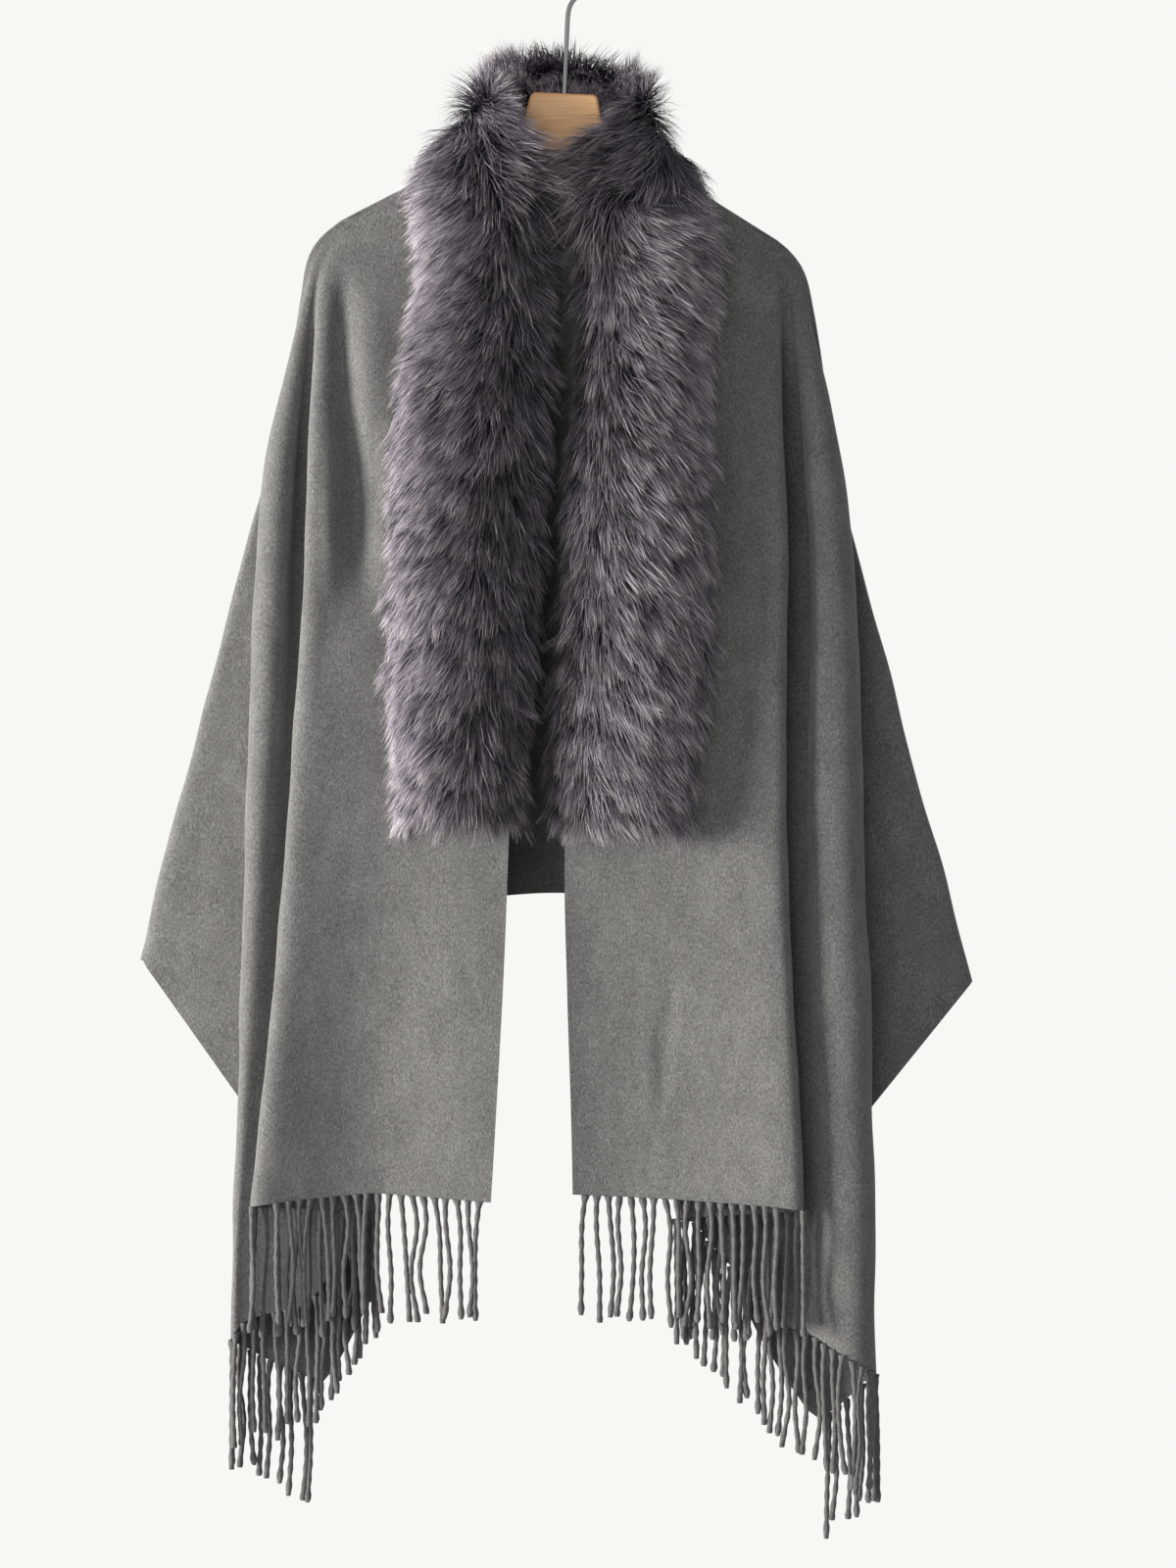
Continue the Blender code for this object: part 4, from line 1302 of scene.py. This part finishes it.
@dataclass
class Collar:
    """The fur collar: a dark body and, standing in it, long fibres gathered in locks."""

    drape: Drape
    hairs: int = 39000  # in each of the three stretches
    locks: int = 2600
    hair_length: float = 47.0
    hair_widths: tuple[float, ...] = (0.8, 0.75, 0.55, 0.0)  # mm, at the joints of a fibre, root first
    segments: int = 3
    lock_radius: float = 5.0  # spread of a lock's roots along the collar
    short_hairs: float = 0.2  # share of the fibres that are undercoat: shorter, darker and less gathered
    pull: float = 0.55  # how far a tip is gathered to the tip of its lock
    plate_gain: float = 0.35  # how much longer the fibres are that close over the hanger's plate
    plate_drops: tuple[float, float] = (165.0, 235.0)  # between which they do
    pelt_inset: float = 25.0  # how far the pelt lies below the reach of the fur
    bottom_inset: float = 38.0  # how far the pelt ends above the lowest tips
    arch: float = math.radians(84)
    back_turn: float = 1.85  # how far round the neck's pelt fibres grow, where 1 is its outer edge
    front_end: float = 245.0  # drop where the neck's stretch meets the fronts
    back_reach: float = 64.0  # from where the fibres at the back of the neck lie flatter
    flatter: float = 0.45  # how much of what reaches further is taken off
    path: CollarPath = field(init=False)

    def __post_init__(self) -> None:
        """Lays the path."""
        self.path = CollarPath(self.drape)

    def pelt_point(self, share: np.ndarray, u: np.ndarray) -> tuple[np.ndarray, np.ndarray]:
        """Points of the pelt and its outward direction.

        Args:
            share: Shares of the collar's length.
            u: From -1 at the edge towards the neck to 1 at the outer edge, and on to 2 round the pelt's back.

        Returns:
            The points and the outward directions.
        """
        path = self.path
        middle, facing, across = (path.at(v, share) for v in (path.middle, path.facing, path.across))
        half = np.maximum(path.at(path.half, share) - self.pelt_inset, 10.0)[:, None]
        tall = np.maximum(path.at(path.deep, share) - self.pelt_inset, 6.0)[:, None]
        turn = (u * self.arch)[:, None]
        normal = across * np.sin(turn) + facing * np.cos(turn)
        height = np.where(
            np.cos(turn) > 0, 4 + (tall - 4) * np.maximum(np.cos(turn), 0) ** 0.8, 4 + 3 * np.cos(turn)
        )
        return middle + across * half * np.sin(turn) + facing * height, normal

    def flow(self, share: np.ndarray, u: np.ndarray) -> np.ndarray:
        """Lays the fibres away from the parting and down the front, over the plate beside it, and upright
        in the two tufts above the shoulders.

        Args:
            share: Shares of the collar's length at the roots.
            u: Places across the collar at the roots.

        Returns:
            A direction for each fibre.
        """
        path = self.path
        across, along, facing = (path.at(v, share) for v in (path.across, path.along, path.facing))
        down = -along * np.tanh((0.5 - share) * 9)[:, None]
        off = u - path.at(path.parting, share)
        angle = np.radians(path.at(path.open_angle, share))
        inward = path.at(path.inward, share)
        outward = np.where(off > 0, ease(off / 0.45) * np.tan(angle), -ease(-off / 0.3) * inward)
        turn = (u * self.arch)[:, None]
        level = across * np.cos(turn) - facing * np.sin(turn)
        way = unit(down + level * outward[:, None])
        point, _ = self.pelt_point(share, u)
        x, y, drop = point[:, 0], point[:, 1], -point[:, 2]

        beside = ease((245 - drop) / 50) * ease((98 - np.abs(x)) / 40) * ease((14 - y) / 12)
        to_plate = np.sign(x)[:, None] * (-0.9, 0, 0) + (0, -0.3, -0.3)
        way = way * (1 - beside)[:, None] + to_plate * beside[:, None]
        tuft = ease((np.abs(x) - 30) / 20) * ease((95 - np.abs(x)) / 25) * ease((150 - drop) / 25)
        upright = np.sign(x)[:, None] * (0.15, 0, 0) + (0, -0.1, 1)
        return unit(way * (1 - tuft)[:, None] + upright * tuft[:, None])

    def lengthened(self, share: np.ndarray, u: np.ndarray) -> np.ndarray:
        """Lengthens the fibres that close over the hanger's plate.

        Args:
            share: Shares of the collar's length at the roots.
            u: Places across the collar at the roots.

        Returns:
            How many times their plain length they have.
        """
        root, _ = self.pelt_point(share, u)
        high, low = self.plate_drops
        near = ease((60 - np.abs(root[:, 0])) / 20)
        return 1 + self.plate_gain * near * (root[:, 2] < -high) * (root[:, 2] > -low)

    def paths(
        self, share: np.ndarray, u: np.ndarray, length: np.ndarray, sway: np.ndarray, lift: np.ndarray
    ) -> np.ndarray:
        """Centre lines of fibres, from their roots.

        Args:
            share: Shares of the collar's length at the roots.
            u: Places across the collar at the roots.
            length: Fibre lengths in millimetres.
            sway: A direction for each fibre that bends it off the flow.
            lift: How steeply each fibre leaves the pelt.

        Returns:
            Points indexed by fibre and joint.
        """
        point, normal = self.pelt_point(share, u)
        flow = unit(self.flow(share, u) + sway)
        joints = [point]
        for n in range(self.segments):
            t = (n + 0.5) / self.segments
            sag = np.array([0, 0, -0.22 * t])
            way = unit(normal * (lift * (1 - t) ** 1.3)[:, None] + flow * (0.55 + 0.6 * t) + sag)
            joints.append(joints[-1] + way * (length / self.segments)[:, None])
        return np.stack(joints, axis=1)

    def fibre_faces(self) -> np.ndarray:
        """The triangles of one fibre: a narrow band that ends in a point."""
        faces = []
        for n in range(self.segments - 1):
            a = 2 * n
            faces += [(a, a + 1, a + 3), (a, a + 3, a + 2)]
        last = 2 * (self.segments - 1)
        return np.array([*faces, (last, last + 1, last + 2)])

    def hair(
        self, name: str, low: float, high: float, seed: int
    ) -> tuple[np.ndarray, np.ndarray, np.ndarray]:
        """Makes the fibres between two shares of the collar's length.

        Args:
            name: The stretch.
            low: Where it starts.
            high: Where it ends.
            seed: Picks the locks and the fibres.

        Returns:
            The fibres' points, their faces, and a colour for each point that FurFinish reads.
        """
        random = np.random.default_rng(seed)
        round_back = self.back_turn if name == "fur_neck" else 1.0
        lock_share = random.uniform(low, high, self.locks)
        lock_u = random.uniform(-round_back, 1, self.locks)
        lock_sway = random.normal(0, 0.2, (self.locks, 3))
        lock_length = self.hair_length * random.uniform(0.8, 1.12, self.locks) * np.where(lock_u < -1, 0.6, 1)
        lock_lift = random.uniform(0.7, 1.25, self.locks)
        lock_length = lock_length * self.lengthened(lock_share, lock_u)
        lock_shade = np.clip(random.normal(0.45, 0.2, self.locks), 0, 1)
        guides = self.paths(lock_share, lock_u, lock_length, lock_sway, lock_lift)

        owner = random.integers(0, self.locks, self.hairs)
        length_of_path = np.linalg.norm(self.path.middle[1] - self.path.middle[0]) * self.path.samples
        reach = self.lock_radius / length_of_path
        share = np.clip(lock_share[owner] + random.normal(0, reach, self.hairs), low, high)
        u = np.clip(lock_u[owner] + random.normal(0, 0.075, self.hairs), -round_back, 1)
        short = random.uniform(0, 1, self.hairs) < self.short_hairs
        length = lock_length[owner] * random.uniform(0.8, 1.08, self.hairs) * np.where(short, 0.6, 1)
        length = length * self.lengthened(share, u)
        sway = lock_sway[owner] + random.normal(0, 0.1, (self.hairs, 3))
        own = self.paths(share, u, length, sway, lock_lift[owner] * random.uniform(0.85, 1.15, self.hairs))
        t = np.linspace(0, 1, self.segments + 1)
        pull = self.pull * t**1.1 * random.uniform(0.6, 1.2, (self.hairs, 1))
        pull = np.where(short[:, None], 0.3 * pull, pull)[..., None]
        lines = own * (1 - pull) + guides[owner] * pull
        lines[..., 1] -= self.flatter * np.maximum(lines[..., 1] - self.back_reach, 0)

        tangent = unit(np.gradient(lines, axis=1))
        _, normal = self.pelt_point(share, u)
        across = unit(np.cross(tangent, normal[:, None, :] + 0.35 * random.normal(size=(self.hairs, 1, 3))))
        width = np.array(self.hair_widths)[None, :, None] * random.uniform(0.7, 1.2, (self.hairs, 1, 1)) / 2
        left, right = lines - across * width, lines + across * width
        body = np.stack([left[:, :-1], right[:, :-1]], axis=2).reshape(self.hairs, -1, 3)
        points = np.concatenate([body, lines[:, -1:]], axis=1)
        each = points.shape[1]
        faces = self.fibre_faces()[None] + (np.arange(self.hairs) * each)[:, None, None]

        off = np.abs(u - self.path.at(self.path.parting, share))
        tones = self.tones(lines[:, 0], off, lock_shade[owner], short, random)
        return points.reshape(-1, 3), faces.reshape(-1, 3), tones.reshape(-1, 4)

    def tones(
        self,
        roots: np.ndarray,
        off: np.ndarray,
        lock: np.ndarray,
        short: np.ndarray,
        random: np.random.Generator,
    ) -> np.ndarray:
        """Shades the fibres: painted shade at the parting, painted light towards the outer edge and on the
        left half, which faces the window, darker and lighter patches, and paler towards the top of the neck.

        Args:
            roots: Where they grow.
            off: How far each is from the parting.
            lock: The shade of its lock.
            short: Whether it is undercoat.
            random: Where its own shade comes from.

        Returns:
            The colours that FurFinish reads, for each fibre and each of its points.
        """
        joints = np.linspace(0, 1, self.segments + 1)
        along = np.concatenate([np.repeat(joints[:-1], 2), [1.0]])[None, :] * np.ones((self.hairs, 1))
        along = along * np.where(short, 0.62, 1.0)[:, None] * random.uniform(0.85, 1.1, (self.hairs, 1))
        # painted shade: fibres near the parting are darker; painted light: fibres towards the outer edge are
        # lighter
        parting_shade_edge_light = np.clip(off - 0.45, -0.45, 0.6)
        # random darker and lighter patches, plus painted light on the left half of the collar, which faces
        # the window
        patches_and_left_light = 0.12 * soft_noise(roots, 150, SEED) + np.where(roots[:, 0] < 0, 0.08, 0.0)
        fibre_tone_and_painted_light = lock + random.normal(0, 0.17, self.hairs) + 0.62 * parting_shade_edge_light + patches_and_left_light
        fibre_tone_and_painted_light = fibre_tone_and_painted_light + 0.4 * ease((190 + roots[:, 2]) / 50)
        tone_and_painted_light = np.clip(fibre_tone_and_painted_light, 0, 1)[:, None] * np.ones((1, along.shape[1]))
        return np.stack([np.clip(along, 0, 1), tone_and_painted_light, np.zeros_like(along), np.ones_like(along)], axis=-1)

    def body(self, name: str, low: float, high: float, finish: bpy.types.Material) -> bpy.types.Object:
        """Makes the closed dark body that the fibres stand in.

        Args:
            name: The stretch.
            low: Where it starts, as a share of the collar's length.
            high: Where it ends.
            finish: Its material.

        Returns:
            The piece.
        """
        count, around = 60, 16
        shares = np.linspace(low, high, count)
        rings = []
        for share in shares:
            u = np.linspace(-2, 2, around)
            point, _ = self.pelt_point(np.full(around, share), u)
            rings.append(point)
        points = np.concatenate(rings)
        n = np.arange(around)
        after = (n + 1) % around
        faces = [
            np.stack([r * around + n, (r + 1) * around + n, (r + 1) * around + after, r * around + after], 1)
            for r in range(count - 1)
        ]
        end = (count - 1) * around
        for k in range(around // 2 - 1):
            faces.append(np.array([[k, k + 1, around - 2 - k, around - 1 - k]]))
            faces.append(np.array([[end + k, end + around - 1 - k, end + around - 2 - k, end + k + 1]]))
        made = mesh_object(f"{name}_undercoat", points, np.concatenate(faces))
        return dress(made, finish, [name])

    def build(self, fibre: bpy.types.Material, under: bpy.types.Material) -> list[bpy.types.Object]:
        """Makes the three stretches of the collar.

        Args:
            fibre: The fibres' material.
            under: The material of what they stand in.

        Returns:
            The pieces, two for each stretch.
        """
        drops = -self.path.middle[:, 2]
        last = len(drops) - 1
        left_end = int(np.argmax(drops < drops[0] - self.bottom_inset)) / last
        left_top = int(np.argmax(drops < self.front_end)) / last
        right_top = (last - int(np.argmax(drops[::-1] < self.front_end))) / last
        right_end = 1 - int(np.argmax(drops[::-1] < drops[-1] - self.bottom_inset)) / last
        marks = (left_end, left_top, right_top, right_end)
        made = []
        for n, name in enumerate(("fur_left", "fur_neck", "fur_right")):
            low, high = marks[n], marks[n + 1]
            made.append(self.body(name, low, high, under))
            points, faces, tones = self.hair(name, low, high, SEED + n)
            hair = mesh_object(f"{name}_fibres", points, faces)
            layer = hair.data.color_attributes.new("hair", "FLOAT_COLOR", "POINT")
            layer.data.foreach_set("color", tones.astype(np.float32).ravel())
            made.append(dress(hair, fibre, [name]))
        return made


# ------------------------------------------------------------------------------------------- hanger


@dataclass(frozen=True)
class BeechFinish:
    """Sanded beech under a thin satin varnish: fine straight grain along the board with short dark flecks."""

    name: str = "varnished_beech"
    pale: str = "#efbb85"
    warm: str = "#dca268"
    grain: float = 1.6  # mm between grain lines

    def build(self) -> bpy.types.Material:
        """Makes the material."""
        made, tree, shader = new_material(self.name)
        place = add_node(tree, "ShaderNodeTexCoord")
        along = add_node(
            tree, "ShaderNodeMapping", inputs={"Vector": place.outputs["Object"], "Scale": (0.06, 1.0, 1.0)}
        )
        grain = add_node(
            tree,
            "ShaderNodeTexNoise",
            inputs={
                "Vector": along.outputs[0],
                "Scale": 1 / (self.grain * MM),
                "Detail": 4.0,
                "Distortion": 0.3,
            },
        )
        broad = add_node(
            tree,
            "ShaderNodeTexNoise",
            inputs={"Vector": along.outputs[0], "Scale": 0.1 / (self.grain * MM), "Detail": 2.0},
        )
        both = add_node(
            tree,
            "ShaderNodeMath",
            {"operation": "MULTIPLY_ADD"},
            {0: broad.outputs[0], 1: 0.6, 2: grain.outputs[0]},
        )
        ramp = add_node(tree, "ShaderNodeValToRGB", inputs={0: both.outputs[0]})
        set_ramp(ramp.color_ramp, ((0.55, self.warm), (0.95, self.pale)))
        bump = add_node(
            tree,
            "ShaderNodeBump",
            inputs={"Height": grain.outputs[0], "Strength": 0.15, "Distance": 0.2 * MM},
        )
        tree.links.new(ramp.outputs[0], shader.inputs["Base Color"])
        tree.links.new(bump.outputs[0], shader.inputs["Normal"])
        shader.inputs["Roughness"].default_value = 0.42
        return made


@dataclass(frozen=True)
class SteelFinish:
    """Drawn steel wire, nickel plated: bright, with faint draw lines along it."""

    name: str = "plated_steel_wire"
    tone: str = "#7d7d80"
    draw: float = 0.8  # mm between draw lines, which are finer on the real wire

    def build(self) -> bpy.types.Material:
        """Makes the material."""
        made, tree, shader = new_material(self.name)
        place = add_node(tree, "ShaderNodeTexCoord")
        lines = add_node(
            tree,
            "ShaderNodeTexNoise",
            inputs={"Vector": place.outputs["Object"], "Scale": 1 / (self.draw * MM), "Detail": 2.0},
        )
        rough = add_node(
            tree, "ShaderNodeMapRange", inputs={"Value": lines.outputs[0], "To Min": 0.18, "To Max": 0.34}
        )
        tree.links.new(rough.outputs[0], shader.inputs["Roughness"])
        shader.inputs["Base Color"].default_value = colour(self.tone)
        shader.inputs["Metallic"].default_value = 1.0
        return made


@dataclass
class Hanger:
    """The beech board and its wire hook, both as the frame has them."""

    def build(self, wood: bpy.types.Material, steel: bpy.types.Material) -> None:
        """Gives the frame's own pieces their finishes.

        Args:
            wood: The board's material.
            steel: The hook's material.
        """
        for node, finish in (("hanger_wood", wood), ("hanger_hook", steel)):
            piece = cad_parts[node]
            piece.data.materials.clear()
            piece.data.materials.append(finish)


# ------------------------------------------------------------------------------------------- studio


class Lamp(NamedTuple):
    """A square soft light: its place, size and power in metres and watts, and its tone."""

    name: str
    spot: tuple[float, float, float]
    size: float
    power: float
    tone: str


@dataclass
class Studio:
    """A pale seamless floor and backdrop, soft window light from the left, and a level camera, in metres."""

    lens: float = 85.0  # mm
    sensor: float = 36.0  # mm
    seen_height: float = 1.376
    centre: tuple[float, float, float] = (0.0155, -0.03, -0.736)
    floor: float = -1.75
    radius: float = 11.0
    cove: float = 4.0  # radius of the turn from floor to wall
    wall: float = 14.0
    turns: int = 12
    around: int = 64
    paper: str = "#f7f8f4"
    lamps: tuple[Lamp, ...] = (
        Lamp("window", (-4.0, -1.5, -1.0), 1.7, 370, "#fffdf9"),
        Lamp("room", (-1.6, -4.2, -0.8), 3.0, 60, "#fefdfb"),
    )
    air: str = "#f6f7f8"
    air_strength: float = 0.24

    def backdrop(self) -> None:
        """A floor that turns up into a far round wall, lit evenly."""
        made, _, shader = new_material("seamless_paper")
        shader.inputs["Base Color"].default_value = (0.0, 0.0, 0.0, 1.0)
        shader.inputs["Roughness"].default_value = 1.0
        shader.inputs["Specular IOR Level"].default_value = 0.0
        shader.inputs["Emission Color"].default_value = colour(self.paper)
        shader.inputs["Emission Strength"].default_value = 1.0
        inner = self.radius - self.cove
        profile = [(2.0, 0.0), (inner, 0.0)]
        for n in range(1, self.turns + 1):
            turn = math.pi / 2 * n / self.turns
            profile.append((inner + self.cove * math.sin(turn), self.cove - self.cove * math.cos(turn)))
        profile.append((self.radius, self.wall))
        around = self.around
        points = [(0.0, 0.0, self.floor)]
        for r, z in profile:
            for k in range(around):
                turn = 2 * math.pi * k / around
                points.append((r * math.cos(turn), r * math.sin(turn), self.floor + z))
        faces = [(0, 1 + k, 1 + (k + 1) % around) for k in range(around)]
        for ring in range(len(profile) - 1):
            low = 1 + ring * around
            for k in range(around):
                after = (k + 1) % around
                faces.append((low + k, low + around + k, low + around + after, low + after))
        mesh = bpy.data.meshes.new("backdrop")
        mesh.from_pydata(points, [], faces)
        mesh.shade_smooth()
        mesh.materials.append(made)
        paper = bpy.data.objects.new("backdrop", mesh)
        paper.visible_diffuse = False
        paper.visible_shadow = False
        bpy.context.scene.collection.objects.link(paper)

    def light(self, lamp: Lamp) -> None:
        """Puts up a lamp and aims it at the middle of the shawl.

        Args:
            lamp: Its row of the table.
        """
        data = bpy.data.lights.new(lamp.name, "AREA")
        data.size = lamp.size
        data.energy = lamp.power
        data.color = colour(lamp.tone)[:3]
        made = bpy.data.objects.new(lamp.name, data)
        made.location = lamp.spot
        made.rotation_euler = (Vector(self.centre) - Vector(lamp.spot)).to_track_quat("-Z", "Y").to_euler()
        bpy.context.scene.collection.objects.link(made)

    def world(self) -> None:
        """Fills the room with weak light from all sides, and shows colours as they are."""
        world = bpy.data.worlds.new("room")
        world.use_nodes = True
        background = world.node_tree.nodes["Background"]
        background.inputs["Color"].default_value = colour(self.air)
        background.inputs["Strength"].default_value = self.air_strength
        bpy.context.scene.world = world
        bpy.context.scene.view_settings.view_transform = "Standard"

    def camera(self) -> None:
        """Stands the camera level, square to the shawl, where it sees as much as the photo shows."""
        camera = bpy.data.cameras.new("camera")
        camera.lens = self.lens
        camera.sensor_width = self.sensor
        made = bpy.data.objects.new("camera", camera)
        away = self.seen_height / 2 * self.lens / (self.sensor / 2)
        x, y, z = self.centre
        made.location = (x, y - away, z)
        made.rotation_euler = (math.pi / 2, 0, 0)
        bpy.context.scene.collection.objects.link(made)
        bpy.context.scene.camera = made

    def build(self) -> None:
        """Sets the backdrop, the lights and the camera."""
        self.backdrop()
        for lamp in self.lamps:
            self.light(lamp)
        self.world()
        self.camera()


def note(piece: bpy.types.Object) -> None:
    """Reports a piece and its faces."""
    LOG.info("%s: %d faces", piece.name, len(piece.data.polygons))


def main() -> None:
    """Builds the shawl, its fringe and collar, the hanger and the studio."""
    logging.basicConfig(level=logging.INFO, format="%(message)s")
    drape = Drape()
    wool, yarn = WoolFinish().build(), YarnFinish().build()
    shawl = Shawl(drape)
    cloth = shawl.build(wool)
    note(cloth)
    fringes = []
    for side in Side:
        panel_end, corner = float(PLACE["main_near"]), CORNER_AT[side]
        for name, start, end in (("front", 0.0, panel_end), ("side", panel_end, corner)):
            fringe = Fringe(drape, side, f"{name}_{side.label}", start, end, SEED + len(fringes))
            fringes.append(fringe.build(yarn))
            note(fringes[-1])
    for piece in Collar(drape).build(FurFinish().build(), PeltFinish().build()):
        note(piece)
    Hanger().build(BeechFinish().build(), SteelFinish().build())
    Studio().build()
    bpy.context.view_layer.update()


if __name__ == "__main__":
    main()
